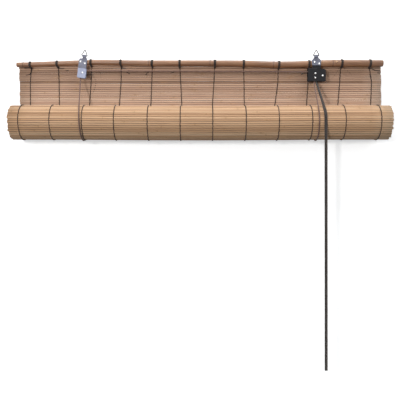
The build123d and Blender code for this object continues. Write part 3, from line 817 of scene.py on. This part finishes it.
@dataclass
class SlatWork:
    """The slats: split, uneven and tied with hardly any gap, flat above and rolled below."""

    line: MatLine
    material: bpy.types.Material
    width: float = 7.08 * MM
    round_off: float = 1.15 * MM
    outer_spans: int = 18
    inner_spans: int = 5
    spare_outer: int = 2
    seed: int = 41

    def blank(self, spans: int, rounds: int) -> bpy.types.Mesh:
        """One straight slat at the origin with rounded long edges.

        Args:
            spans: How many lengths it is divided into.
            rounds: Segments in each rounded edge.

        Returns:
            The slat's mesh.
        """
        bm = bmesh.new()
        bmesh.ops.create_cube(bm, size=1.0)
        bmesh.ops.scale(bm, vec=(2 * self.line.half_width, self.line.thickness, self.width), verts=bm.verts)
        long_edges = [e for e in bm.edges if abs(e.verts[0].co.x - e.verts[1].co.x) > self.line.half_width]
        bmesh.ops.bevel(bm, geom=long_edges, offset=self.round_off, offset_type="OFFSET", segments=rounds,
                        profile=0.5, affect="EDGES", material=-1)
        long_edges = [e for e in bm.edges if abs(e.verts[0].co.x - e.verts[1].co.x) > self.line.half_width]
        bmesh.ops.subdivide_edges(bm, edges=long_edges, cuts=spans - 1, use_grid_fill=True)
        mesh = bpy.data.meshes.new("slat_blank")
        bm.to_mesh(mesh)
        bm.free()
        return mesh

    def ends(self, distance: float, rng: Random) -> tuple[float, float]:
        """Where a slat's two ends are: a slightly askew mat with uneven cuts.

        Args:
            distance: How far down the mat the slat is.
            rng: The slat's own random draws.

        Returns:
            The X of its left end and of its right end.
        """
        share = min(1.0, distance / self.line.straight)
        rolled = distance > self.line.straight
        left = -600.5 + (5.5 * share if not rolled else rng.uniform(-3.5, 1.0))
        right = 599.8 + (1.5 * share if not rolled else rng.uniform(2.0, 6.5))
        return (left + rng.uniform(-1.3, 1.3)) * MM, (right + rng.uniform(-1.3, 1.3)) * MM

    def lay(self, first: int, last: int, blank_for: dict[bool, bpy.types.Mesh]) -> bmesh.types.BMesh:
        """Slats first to last, each bent a little and set on the mat's line.

        Args:
            first: The first slat's number from the top.
            last: The number after the last slat's.
            blank_for: The blank for outer slats, under True, and for hidden ones, under False.

        Returns:
            One bmesh with all of them.
        """
        bm = bmesh.new()
        layer = bm.verts.layers.float_color.new("slat")
        first_turn = ceil(2 * pi * self.line.turn_radius / self.line.pitch)
        outer_end = self.line.flat_count + first_turn + self.spare_outer
        for number in range(first, last):
            rng = Random(self.seed * 1000 + number)
            outer = number < outer_end
            before = len(bm.verts)
            bm.from_mesh(blank_for[outer])
            bm.verts.ensure_lookup_table()
            fresh = [bm.verts[i] for i in range(before, len(bm.verts))]
            self.shape(fresh, layer, number, rng)
        return bm

    def wander(self, waves: list[tuple[float, float, float]], x: float) -> float:
        """How far a slat strays here: waves of a rate, a start and a size added up."""
        return sum(size * sin(rate * pi * x / self.line.half_width + start) for rate, start, size in waves)

    def shape(self, verts: list[bmesh.types.BMVert], layer: object, number: int, rng: Random) -> None:
        """Bends one slat, gives it its marks and puts it in its place.

        Args:
            verts: The slat's vertices, still straight at the origin.
            layer: The colour layer that holds the marks.
            number: Its number from the top.
            rng: The slat's own random draws.
        """
        line = self.line
        distance = line.slat_middle(number)
        left, right = self.ends(distance, rng)
        centre, stretch = (left + right) / 2, (right - left) / (2 * line.half_width)
        waves = [(rng.uniform(1.2, 2.4), rng.uniform(0, 2 * pi), rng.uniform(0.04, 0.16) * MM),
                 (rng.uniform(4.0, 8.0), rng.uniform(0, 2 * pi), rng.uniform(0.02, 0.07) * MM)]
        lifts = [(rng.uniform(1.5, 3.5), rng.uniform(0, 2 * pi), rng.uniform(0.05, 0.25) * MM)]
        broad = rng.uniform(0.985, 1.0)
        # How strongly this slat's painted shade in the gaps shows.
        gap_shade = rng.uniform(0.7, 1.3)
        thick = rng.uniform(0.86, 1.04)
        tone = min(1.0, max(0.0, rng.gauss(0.5, 0.2)))
        phase = rng.random()
        for vert in verts:
            x = vert.co.x * stretch + centre
            side = 1.0 if vert.co.y > 0 else 0.0
            edge = max(0.0, 1 - (self.width / 2 - abs(vert.co.z)) / self.round_off) ** 0.6
            lift, drift = self.wander(lifts, x), self.wander(waves, x)
            vert.co = (x, vert.co.y * thick + lift, vert.co.z * broad + drift)
            # Painted light: the last 50 mm towards each slat's right end are made paler, as if lit from the
            # right.
            painted_right_light = 0.6 * max(0.0, (x / MM - 555) / 50)
            # The alpha channel holds the painted shade along the slat's long edges, for the gaps between
            # slats.
            vert[layer] = (min(1.0, tone + painted_right_light), phase, side, min(1.0, gap_shade * edge))
        y, z = line.place(distance, 0.0)
        turn = Matrix.Translation((0, y, z)) @ Matrix.Rotation(-line.angle(distance), 4, "X")
        for vert in verts:
            vert.co = turn @ vert.co
            vert.co.z -= line.sag(vert.co.x, distance)

    def build(self) -> list[bpy.types.Object]:
        """The flat slats and the rolled slats.

        Returns:
            Both pieces.
        """
        blanks = {True: self.blank(self.outer_spans, 2), False: self.blank(self.inner_spans, 1)}
        flat = self.lay(0, self.line.flat_count, blanks)
        rolled = self.lay(self.line.flat_count, self.line.slat_count, blanks)
        return [
            piece_from(flat, "flat_slats", self.material, ("slat_mat",)),
            piece_from(rolled, "rolled_slats", self.material, ("slat_roll",)),
        ]


@dataclass(frozen=True)
class CaneShape:
    """The head cane's crooked line, thickness, joints and scar."""

    front: float = 4.18
    stations: tuple[tuple[float, float, float], ...] = (
        (-603, -45.5, 15.0), (-582, -45.0, 15.1), (-480, -41.5, 15.6), (-349.8, -36.8, 16.4),
        (-169.2, -39.4, 17.4), (33, -39.2, 18.4), (150, -40.2, 19.4), (241.2, -44.0, 20.4),
        (310.2, -43.4, 20.8), (436.8, -39.0, 21.4), (603, -39.6, 21.4))
    joints: tuple[float, ...] = (-582, -169.2, 33, 241.2, 436.8)
    scar: float = 444.0
    scar_length: float = 12.0
    half_length: float = 603.0

    def read(self, x: float, column: int) -> float:
        """The height or thickness at a place, eased over the bends of the line.

        Args:
            x: The place along the cane, in mm.
            column: 1 for the height of the axis, 2 for the thickness.

        Returns:
            The value, in mm.
        """
        stations = [(s[0], s[column]) for s in self.stations]
        spots = [x + step for step in (-16, -8, 0, 8, 16)]
        return sum(between(stations, spot) for spot in spots) / len(spots)

    def swell(self, x: float) -> float:
        """How far a joint stands proud here: a sharp lip, a groove and a rounder ridge.

        Args:
            x: The place along the cane, in mm.

        Returns:
            The height over the cane's own surface, in mm.
        """
        height = 0.0
        for joint in self.joints:
            d = x - joint
            lip = 0.75 * max(0.0, 1 - abs(d + 1.2) / 1.3)
            ridge = 0.85 * max(0.0, 1 - (abs(d - 2.4) / 2.6) ** 2)
            groove = -0.35 * max(0.0, 1 - abs(d - 0.1) / 0.9)
            height += lip + ridge + groove
        return height

    def radius(self, x: float) -> float:
        """The cane's radius at a place, before its joints."""
        return self.read(x, 2) / 2

    def centre(self, x: float) -> tuple[float, float]:
        """The depth and height of the cane's axis at a place."""
        return self.front + self.radius(x), self.read(x, 1)


@dataclass
class HeadCane:
    """The head rod: one crooked length of cane."""

    material: bpy.types.Material
    shape: CaneShape = CaneShape()
    sides: int = 28
    ring_spacing: int = 14
    round_left: float = 2.0
    round_right: float = 3.4

    def places(self) -> list[float]:
        """Where its rings are: close at joints, ends and the scar, wider between.

        Returns:
            X of each ring in mm, from left to right.
        """
        end = self.shape.half_length
        count = int(2 * end // self.ring_spacing) + 1
        marks = {-end + self.ring_spacing * k for k in range(count)} | {end}
        for joint in self.shape.joints:
            marks |= {joint + step for step in (-5, -3.2, -2.4, -1.2, -0.3, 0.3, 1.2, 2.4, 3.6, 5, 7)}
        marks |= {self.shape.scar + step for step in (-4, -1, 2, 5, 8, 11, 14)}
        marks |= {-602.4, -601.2, 600.2, 601.8, 602.7}
        found = sorted(m for m in marks if -end <= m <= end)
        return [m for i, m in enumerate(found) if i == 0 or m - found[i - 1] > 0.25]

    def ring_size(self, x: float) -> float:
        """The radius of the ring at a place, rounded off towards both ends.

        Args:
            x: The ring's place, in mm.

        Returns:
            The radius, in mm.
        """
        shape = self.shape
        radius = shape.radius(x) + shape.swell(x)
        inset = shape.half_length - abs(x)
        reach = self.round_left if x < 0 else self.round_right
        if inset < reach:
            radius -= reach * (1 - sqrt(max(0.0, 1 - (1 - inset / reach) ** 2)))
        return max(radius, 1.0)

    def build(self) -> bpy.types.Object:
        """The cane, drawn out ring by ring, closed with a shallow hollow at both ends.

        Returns:
            The cane's piece.
        """
        bm = bmesh.new()
        layer = bm.verts.layers.float_color.new("cane")
        places = self.places()
        bmesh.ops.create_circle(bm, cap_ends=False, radius=1.0, segments=self.sides,
                                matrix=Matrix.Rotation(radians(90), 4, "Y"))
        edges = list(bm.edges)
        rings = [list(bm.verts)]
        for _ in places[1:]:
            drawn = bmesh.ops.extrude_edge_only(bm, edges=edges)["geom"]
            edges = [e for e in drawn if isinstance(e, bmesh.types.BMEdge)
                     and all(v in drawn for v in e.verts)]
            rings.append([v for v in drawn if isinstance(v, bmesh.types.BMVert)])
        for x, ring in zip(places, rings):
            depth, height = self.shape.centre(x)
            size = self.ring_size(x)
            near = max(max(0.0, 1 - abs(x - joint + 0.2) / 2.2) for joint in self.shape.joints)
            for vert in ring:
                angle = atan2(vert.co.z, vert.co.y)
                uneven = 0.12 * sin(2 * angle + x / 170) + 0.08 * sin(3 * angle - x / 90)
                reach = size + uneven
                mark = self.scar_mark(x, angle)
                reach += 0.55 * mark
                vert.co = Vector((x, depth + reach * cos(angle), height + reach * sin(angle))) * MM
                vert[layer] = (near, mark, 0.0, 1.0)
        for ring, push in ((rings[0], 1.6), (rings[-1], -1.2)):
            self.close(bm, layer, ring, push * MM)
        bmesh.ops.recalc_face_normals(bm, faces=bm.faces)
        return piece_from(bm, "head_cane", self.material, ("head_rod",))

    def scar_mark(self, x: float, angle: float) -> float:
        """How much of the branch scar lies here: a leaf shape on the front, above the middle.

        Args:
            x: The place along the cane, in mm.
            angle: The angle round it, in radians.

        Returns:
            0 outside the scar, up to 1 at its root.
        """
        along = (x - self.shape.scar) / self.shape.scar_length
        if not 0 <= along <= 1:
            return 0.0
        turn = (angle - radians(160) + pi) % (2 * pi) - pi
        half = radians(38) * (1 - along) + radians(6)
        return max(0.0, 1 - (turn / half) ** 2) * (1 - 0.5 * along)

    def close(self, bm: bmesh.types.BMesh, layer: object, ring: list[bmesh.types.BMVert],
              push: float) -> None:
        """Closes one end with a cut face, its middle hollowed.

        Args:
            bm: The cane's bmesh.
            layer: The colour layer that holds the marks.
            ring: The vertices of the last ring at this end.
            push: How far the middle goes in along X.
        """
        loop = {e for v in ring for e in v.link_edges if e.other_vert(v) in ring}
        face = bmesh.ops.contextual_create(bm, geom=list(loop))["faces"]
        for share, depth in ((0.8, 0.0), (0.55, 0.25), (0.3, 1.0)):
            bmesh.ops.inset_region(bm, faces=face, thickness=0.0, depth=0.0)
            middle = sum((v.co for v in face[0].verts), Vector()) / len(face[0].verts)
            for vert in face[0].verts:
                vert.co = middle + (vert.co - middle) * share
                vert.co.x += push * depth
                vert[layer] = (0.0, 0.0, 1.0, 1.0)


@dataclass(frozen=True)
class ThreadColumn:
    """One column of thread: where it crosses the cane, the flat mat and the roll, in mm."""

    number: int
    at_cane: float
    at_upper: float
    at_lower: float
    at_roll: float


COLUMNS = (
    ThreadColumn(1, -558, -563, -562, -568),
    ThreadColumn(2, -470, -467, -466, -471),
    ThreadColumn(3, -359, -361, -366, -370),
    ThreadColumn(4, -261, -262, -267, -270),
    ThreadColumn(5, -158, -160, -163, -165),
    ThreadColumn(6, -67, -64, -60, -62),
    ThreadColumn(7, 49, 46, 41, 40),
    ThreadColumn(8, 144, 146, 147, 144.5),
    ThreadColumn(9, 260, 258, 248, 247.5),
    ThreadColumn(10, 359, 358, 353, 351.5),
    ThreadColumn(11, 467, 463, 457, 456),
    ThreadColumn(12, 560, 569, 566, 567),
)


@dataclass
class ThreadWork:
    """The warp threads: twined round the slats, wound round the cane and knotted below it."""

    line: MatLine
    cane: CaneShape
    material: bpy.types.Material
    radius: float = 1.3 * MM
    ply_pitch: float = 3.2 * MM
    stops_before: float = 0.55
    seed: int = 7

    def across(self, column: ThreadColumn, distance: float) -> float:
        """The X of a column at a distance down the mat.

        Args:
            column: The column.
            distance: How far down the mat.

        Returns:
            The X there.
        """
        stations = [(0.0, column.at_cane), (60.0, column.at_upper), (135.0, column.at_lower),
                    (self.line.straight / MM + 10, column.at_roll)]
        return between(stations, distance / MM) * MM

    def strand(self, column: ThreadColumn, phase: int) -> list[Point]:
        """One of a column's two strands: over a slat, through the gap and under the next.

        Args:
            column: The column.
            phase: 0 for the strand that starts behind the mat, 1 for the other.

        Returns:
            Control points in metres.
        """
        line = self.line
        rng = Random(self.seed + 31 * column.number + phase)
        wound = int((2 * pi - self.stops_before) * line.turn_radius / line.pitch)
        reach = line.thickness / 2 + 0.96 * self.radius
        points = []
        for number in range(line.flat_count + wound):
            side = 1 if (number + phase) % 2 == 0 else -1
            centre = line.slat_middle(number)
            for share, offset in ((-0.27, side * reach), (0.27, side * reach), (0.5, 0.0)):
                distance = centre + share * line.pitch
                lean = 0.4 * self.radius * (1 if share < 0 else -1) * (1 if phase else -1)
                x = self.across(column, distance) + lean + rng.uniform(-0.15, 0.15) * MM
                y, z = line.place(distance, offset * 1.06)
                points.append((x, y, z - line.sag(x, distance)))
        return points

    def wraps(self, column: ThreadColumn) -> list[Point]:
        """Two and a third turns round the cane, from the knot to the top of the mat's back.

        Args:
            column: The column.

        Returns:
            Control points in metres.
        """
        x = column.at_cane
        depth, height = self.cane.centre(x)
        step = radians(30)
        radius = (self.cane.radius(x) + self.radius / MM + 0.2) / cos(step / 2)
        start, count, spread = radians(232), 28, 5.8
        points = [(x - 1.2, 24.5, height - self.cane.radius(x) - 3.5)]
        for k in range(count + 1):
            angle = start - k * step
            shift = -spread / 2 + spread * k / count
            points.append((x + shift, depth + radius * cos(angle), height + radius * sin(angle)))
        points.append((x + 1.0, 30.2, -43.0))
        points.append((x, 30.4, -52.0))
        return [(a * MM, b * MM, c * MM) for a, b, c in points]

    def knot(self, column: ThreadColumn) -> list[Point]:
        """The knot below the cane, a closed three-lobed tangle.

        Args:
            column: The column.

        Returns:
            Control points of a closed line, in metres.
        """
        x = column.at_cane
        height = self.cane.centre(x)[1] - self.cane.radius(x) - 2.6
        points = []
        for k in range(18):
            t = 2 * pi * k / 18
            a, b, c = sin(t) + 2 * sin(2 * t), cos(t) - 2 * cos(2 * t), -sin(3 * t)
            points.append(((x + 0.9 * a) * MM, (23.6 - 0.9 * c) * MM, (height + 1.0 * b) * MM))
        return points

    def laced(self, route: list[tuple[float, float]]) -> list[Point]:
        """A loose end that goes in and out between the slats, so that it shows in each gap.

        Args:
            route: X and Z of its way down the mat, in mm.

        Returns:
            Points in mm.
        """
        line = self.line
        falling = [(-z, x) for x, z in route]
        top, pitch = line.top / MM, line.pitch / MM
        first = ceil((top - route[0][1]) / pitch)
        last = int((top - route[-1][1]) / pitch)
        points = [(route[0][0], 31.2, route[0][1])]
        for gap in range(first, last + 1):
            z = top - gap * pitch
            for step, y in ((0.32, 30.6), (0.0, 26.0), (-0.32, 30.6)):
                height = z + step * pitch
                points.append((between(falling, -height), y, height))
        return points

    def tails(self, column: ThreadColumn) -> list[list[Point]]:
        """The cut ends left at a knot, behind or in front of the mat.

        Args:
            column: The column.

        Returns:
            Control points of each end in metres, or nothing.
        """
        front, back = 25.3, 31.2
        found = {
            1: [[(-558, front, -56), (-560, front, -66), (-564, front, -75), (-577, front, -76.2)],
                [(-558, front, -56), (-562, front, -50), (-576, front, -51), (-582, front, -52)]],
            2: [[(-470, front, -54), (-464, front, -54), (-450, front, -53.5)],
                [(-470, back, -58), (-450, back, -60), (-444, front, -61.5), (-436, front, -60.5)]],
            3: [self.laced([(-372, -68), (-359, -74), (-351.8, -82.5), (-344.5, -98.5), (-346.9, -112.4),
                            (-351.8, -126.4), (-357.2, -139)]),
                [(-376, front, -75.4), (-366, front, -75.2), (-352, front, -75.2)],
                self.laced([(-345, -58), (-331, -68), (-328.5, -84)])],
            4: [[(-261, front, -52), (-254, front, -52), (-246, front, -54)],
                [(-261, back, -60), (-246, back, -64), (-241, front, -66.5), (-233, front, -72)]],
            5: [[(-158, back, -58), (-168, back, -64), (-173, front, -67), (-180, front, -74)],
                self.laced([(-172, -68), (-182, -88)])],
            6: [[(-67, back, -58), (-84, back, -64), (-90, front, -67.5), (-98, front, -69)]],
            9: [self.laced([(254, -62), (248, -76), (244, -94)])],
            10: [[(359, back, -58), (345, back, -68), (340, front, -71), (335, front, -75.5)]],
            11: [self.laced([(461, -54), (456, -63), (450, -71), (440, -84)]),
                 self.laced([(479, -54), (492, -63), (499, -70), (504, -77)])],
            12: [[(560, front, -54), (568, front, -54), (577, front, -58), (583, front, -61),
                  (598, front, -61.5)],
                 [(566, back, -62), (584, back, -67), (591, front, -68.5), (598, front, -69)]],
        }
        return [[(a * MM, b * MM, c * MM) for a, b, c in tail] for tail in found.get(column.number, [])]

    def build(self) -> list[bpy.types.Object]:
        """One piece for each column.

        Returns:
            The pieces, from left to right.
        """
        made = []
        for column in COLUMNS:
            bm = bmesh.new()
            runs = [(self.strand(column, phase), False, 2) for phase in (0, 1)]
            runs.append((self.wraps(column), False, 3))
            runs.append((self.knot(column), True, 3))
            runs += [(tail, False, 5) for tail in self.tails(column)]
            for points, closed, steps in runs:
                length = sum((Vector(b) - Vector(a)).length for a, b in zip(points, points[1:]))
                tube = bare_line(points, closed, steps, self.radius, 1)
                stretch_wrap(tube, length / self.ply_pitch)
                bm.from_mesh(tube)
                bpy.data.meshes.remove(tube)
            name = f"thread_{column.number:02d}"
            node = f"warp_thread_{column.number:02d}"
            made.append(piece_from(bm, name, self.material, (node,)))
        return made


@dataclass(frozen=True)
class CordRun:
    """A cord's route in mm: control points of its smooth line."""

    name: str
    node: str
    points: tuple[Point, ...]
    radius: float = 1.9

    def route(self) -> list[Point]:
        """The control points in metres."""
        return [(x * MM, y * MM, z * MM) for x, y, z in self.points]


@dataclass
class CordWork:
    """The lift cords and the two free pull cords."""

    material: bpy.types.Material
    braid_pitch: float = 6.0 * MM

    def tube(self, run: CordRun) -> tuple[bpy.types.Mesh, list[Vector]]:
        """A braided tube along a route, and the line that it follows.

        Args:
            run: The cord's route.

        Returns:
            The tube's mesh and the points of its line.
        """
        route = run.route()
        path = line_points(route, 10)
        length = sum((b - a).length for a, b in zip(path, path[1:]))
        mesh = bare_line(route, False, 10, run.radius * MM, 4)
        stretch_wrap(mesh, length / self.braid_pitch)
        return mesh, path

    def lift(self, run: CordRun) -> bpy.types.Object:
        """A cord that the blind holds at both ends."""
        mesh, _ = self.tube(run)
        return piece_from(mesh, run.name, self.material, (run.node,))

    def pull(self, run: CordRun, material: bpy.types.Material) -> bpy.types.Object:
        """A free cord, which hangs from the lock to its cut end.

        Args:
            run: The cord's route.
            material: Its material.

        Returns:
            The cord's piece.
        """
        mesh, path = self.tube(run)
        piece = piece_from(mesh, run.name, material, (run.node,))
        return piece


@dataclass
class Fittings:
    """The metal pieces, which keep their CAD shape and get their finish here."""

    metals: dict[str, bpy.types.Material]
    cane: bpy.types.Material
    lift_cord: bpy.types.Material
    finish_of: dict[str, str] = field(default_factory=lambda: {
        "left_hanger_plate": "plate", "right_hanger_plate": "plate", "left_ring": "wire",
        "right_ring": "wire", "plate_screws": "bright", "left_pulley_case": "case",
        "left_pulley_wheel": "brass", "lock_case": "black", "lock_wheel": "brass",
        "guide_roller": "bright", "locking_pawl": "pawl", "case_rivets": "bright",
        "screw_eyes": "plate"})

    def dress(self) -> None:
        """Gives each fitting its material."""
        for node, finish in self.finish_of.items():
            self.paint(node, self.metals[finish])
        self.paint("bottom_rod", self.cane)
        self.paint("cord_knots", self.lift_cord)

    def paint(self, node: str, material: bpy.types.Material) -> None:
        """Puts a material on a CAD node.

        Args:
            node: The node's name.
            material: The material.
        """
        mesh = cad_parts[node].data
        mesh.materials.clear()
        mesh.materials.append(material)


@dataclass
class Studio:
    """The camera, the lamps, and the pale wall and floor."""

    camera_place: Point = (0.0, -1.765, -0.4899)
    lens: float = 48.6
    wall_y: float = 0.047
    floor_z: float = -1.33

    def pale(self, name: str, glow: float, plain_tone: float, see_through: bool) -> bpy.types.Material:
        """A pale finish that shows near white to the camera and keeps the object's shadow.

        Args:
            name: The material's name.
            glow: How much white is added for the camera and for reflections.
            plain_tone: The surface's tone to the camera. To all else its tone is a fifth.
            see_through: Whether the back of the surface is invisible.

        Returns:
            The material.
        """
        material = bpy.data.materials.new(name)
        material.use_nodes = True
        material.node_tree.nodes.clear()
        sheet = Sheet(material.node_tree)
        ground = sheet.add("ShaderNodeOutputMaterial")
        plain = sheet.add("ShaderNodeBsdfDiffuse")
        white = sheet.add("ShaderNodeEmission")
        white.inputs["Color"].default_value = (0.98, 0.99, 1.0, 1.0)
        by_camera, looked_at = self.sight(sheet)
        sheet.feed(white.inputs["Strength"], sheet.maths("MULTIPLY", looked_at, glow))
        shown = (plain_tone, plain_tone, plain_tone, 1.0)
        thrown_back = (0.2, 0.2, 0.2, 1.0)
        sheet.feed(plain.inputs["Color"], sheet.blend(by_camera, thrown_back, shown))
        both = sheet.add("ShaderNodeAddShader")
        sheet.feed(both.inputs[0], plain.outputs[0])
        sheet.feed(both.inputs[1], white.outputs[0])
        last = both.outputs[0]
        if see_through:
            clear = sheet.add("ShaderNodeBsdfTransparent")
            facing = sheet.add("ShaderNodeNewGeometry")
            pick = sheet.add("ShaderNodeMixShader")
            sheet.feed(pick.inputs[0], facing.outputs["Backfacing"])
            sheet.feed(pick.inputs[1], last)
            sheet.feed(pick.inputs[2], clear.outputs[0])
            last = pick.outputs[0]
        sheet.feed(ground.inputs["Surface"], last)
        return material

    def sight(self, sheet: Sheet) -> tuple[bpy.types.NodeSocket, bpy.types.NodeSocket]:
        """Tells looks from light.

        Args:
            sheet: The sheet of a stage material or of the world.

        Returns:
            1 where the camera looks, and 1 where the camera, a reflection or a clear piece looks.
        """
        path = sheet.add("ShaderNodeLightPath")
        by_camera = path.outputs["Is Camera Ray"]
        looked_at = sheet.maths("MAXIMUM", by_camera, path.outputs["Is Glossy Ray"])
        return by_camera, sheet.maths("MAXIMUM", looked_at, path.outputs["Is Transmission Ray"])

    def plane(self, name: str, turn: Matrix, size: float, material: bpy.types.Material) -> None:
        """A flat square of the stage.

        Args:
            name: The piece's name.
            turn: Its place and tilt.
            size: Half its side.
            material: Its material.
        """
        bm = bmesh.new()
        bmesh.ops.create_grid(bm, x_segments=1, y_segments=1, size=size, matrix=turn)
        mesh = bpy.data.meshes.new(name)
        bm.to_mesh(mesh)
        bm.free()
        mesh.materials.append(material)
        piece = bpy.data.objects.new(name, mesh)
        bpy.context.scene.collection.objects.link(piece)

    def lamp(self, name: str, place: Point, aim: Point, size: tuple[float, float], power: float,
             colour: Point = (1.0, 1.0, 1.0)) -> None:
        """A soft rectangular lamp that points at a place.

        Args:
            name: The lamp's name.
            place: Where it stands.
            aim: Where it points.
            size: Its width and height.
            power: Its power in watts.
            colour: The colour of its light.
        """
        data = bpy.data.lights.new(name, "AREA")
        data.shape = "RECTANGLE"
        data.size, data.size_y = size
        data.energy = power
        data.color = colour
        lamp = bpy.data.objects.new(name, data)
        lamp.location = place
        lamp.rotation_mode = "QUATERNION"
        lamp.rotation_quaternion = (Vector(aim) - Vector(place)).to_track_quat("-Z", "Y")
        bpy.context.scene.collection.objects.link(lamp)

    def build(self) -> None:
        """Sets up camera, world, lamps, wall and floor."""
        scene = bpy.context.scene
        data = bpy.data.cameras.new("camera")
        data.lens = self.lens
        data.sensor_width = 36.0
        data.clip_start, data.clip_end = 0.05, 60.0
        camera = bpy.data.objects.new("camera", data)
        camera.location = self.camera_place
        camera.rotation_euler = (radians(90), 0.0, 0.0)
        scene.collection.objects.link(camera)
        scene.camera = camera
        scene.view_settings.view_transform = "Standard"
        self.sky(scene)
        wall = self.pale("pale_wall", 0.56, 0.82, True)
        floor = self.pale("pale_floor", 0.85, 0.3, False)
        half_wall = 1.7
        upright = Matrix.Translation((0, self.wall_y, self.floor_z + half_wall))
        self.plane("wall", upright @ Matrix.Rotation(radians(90), 4, "X"), half_wall, wall)
        self.plane("floor", Matrix.Translation((0, -1.2, self.floor_z)), 4.0, floor)
        self.lamp("key", (-1.3, -3.2, -0.19), (0.0, 0.0, -0.3), (0.4, 0.4), 52.0, (1.0, 0.99, 0.97))
        self.lamp("top", (0.0, -0.6, 1.5), (0.0, -0.05, -0.2), (2.6, 0.7), 36.0)
        self.lamp("fill", (2.3, -2.4, 0.5), (0.4, 0.0, -0.2), (1.0, 1.0), 14.0)
        self.lamp("rear", (0.9, 2.6, 0.9), (0.0, 0.0, -0.2), (1.6, 1.6), 90.0)

    def sky(self, scene: bpy.types.Scene) -> None:
        """A world that is white to look at and gives a plain soft light.

        Args:
            scene: The scene that gets the world.
        """
        world = bpy.data.worlds.new("world")
        scene.world = world
        world.use_nodes = True
        world.node_tree.nodes.clear()
        sheet = Sheet(world.node_tree)
        ground = sheet.add("ShaderNodeOutputWorld")
        light = sheet.add("ShaderNodeBackground")
        light.inputs["Color"].default_value = (0.96, 0.98, 1.0, 1.0)
        direction = sheet.add("ShaderNodeTexCoord")
        parts = sheet.add("ShaderNodeSeparateXYZ")
        sheet.feed(parts.inputs[0], direction.outputs["Generated"])
        sheet.feed(light.inputs["Strength"], sheet.range(parts.outputs[2], -0.3, 0.4, 0.05, 0.34))
        seen = sheet.add("ShaderNodeBackground")
        seen.inputs["Strength"].default_value = 1.0
        seen.inputs["Color"].default_value = (1.0, 1.0, 1.0, 1.0)
        looked_at = self.sight(sheet)[1]
        pick = sheet.add("ShaderNodeMixShader")
        sheet.feed(pick.inputs[0], looked_at)
        sheet.feed(pick.inputs[1], light.outputs[0])
        sheet.feed(pick.inputs[2], seen.outputs[0])
        sheet.feed(ground.inputs["Surface"], pick.outputs[0])


LIFT_LEFT = CordRun("left_lift_cord", "lift_cord_left", (
    (-377.0, 31.38, -80.0), (-376.8, 31.38, -209.7), (-376.5, 31.38, -269.3), (-375.5, -16.57, -304.02),
    (-376.0, -72.26, -286.57), (-377.0, -91.28, -232.28), (-381.84, -59.16, -183.67),
    (-388.67, -13.75, -114.99), (-390.57, -1.12, -95.87), (-390.57, -1.12, -67.67), (-367.57, -1.11, -67.76),
    (363.51, -0.83, -70.62), (383.51, -0.82, -70.7), (380.21, -0.82, -90.4)))
LIFT_RIGHT = CordRun("right_lift_cord", "lift_cord_right", (
    (373.5, 31.38, -80.0), (373.5, 31.38, -209.9), (373.5, 31.38, -269.54), (373.0, -17.15, -304.22),
    (372.5, -73.05, -285.94), (372.0, -91.19, -230.89), (371.92, -57.27, -182.29), (371.83, -18.58, -126.86),
    (371.8, -5.42, -108.0), (371.8, -5.42, -100.0), (366.33, -5.42, -70.7), (383.51, -5.42, -70.7),
    (380.21, -5.42, -90.4)))
PULL_FRONT = CordRun("front_pull_cord", "pull_cord_left", (
    (380.21, -5.42, -90.4), (378.6, -5.42, -100.0), (378.6, -5.42, -108.0), (389.21, -71.57, -203.11),
    (389.6, -84.62, -221.88), (389.9, -84.62, -244.9), (390.2, -84.62, -1020.7)), 2.4)
PULL_BACK = CordRun("back_pull_cord", "pull_cord_right", (
    (380.21, -0.82, -90.4), (379.2, -0.82, -98.0), (382.3, -3.42, -110.0), (393.15, -71.18, -202.76),
    (394.2, -84.62, -221.16), (394.7, -84.62, -244.2), (395.1, -84.62, -1020.7)), 2.4)


def main() -> None:
    """Builds the camera and cords first, then the mat, cane, threads and fittings."""
    logging.basicConfig(level=logging.INFO, format="%(message)s")
    Studio().build()
    finishes = Finishes.make()
    line = MatLine()
    cane = CaneShape()
    cords = CordWork(finishes.lift_cord)
    pulls = zip((PULL_FRONT, PULL_BACK), finishes.pull_cords)
    pieces = [cords.pull(run, material) for run, material in pulls]
    pieces += [cords.lift(LIFT_LEFT), cords.lift(LIFT_RIGHT)]
    pieces += SlatWork(line, finishes.slats).build()
    pieces.append(HeadCane(finishes.cane, cane).build())
    pieces += ThreadWork(line, cane, finishes.thread).build()
    for piece in pieces:
        log.info("%s: %d faces", piece.name, len(piece.data.polygons))
    Fittings(finishes.metals, finishes.cane, finishes.lift_cord).dress()
    log.info("fittings dressed")


if __name__ == "__main__":
    main()
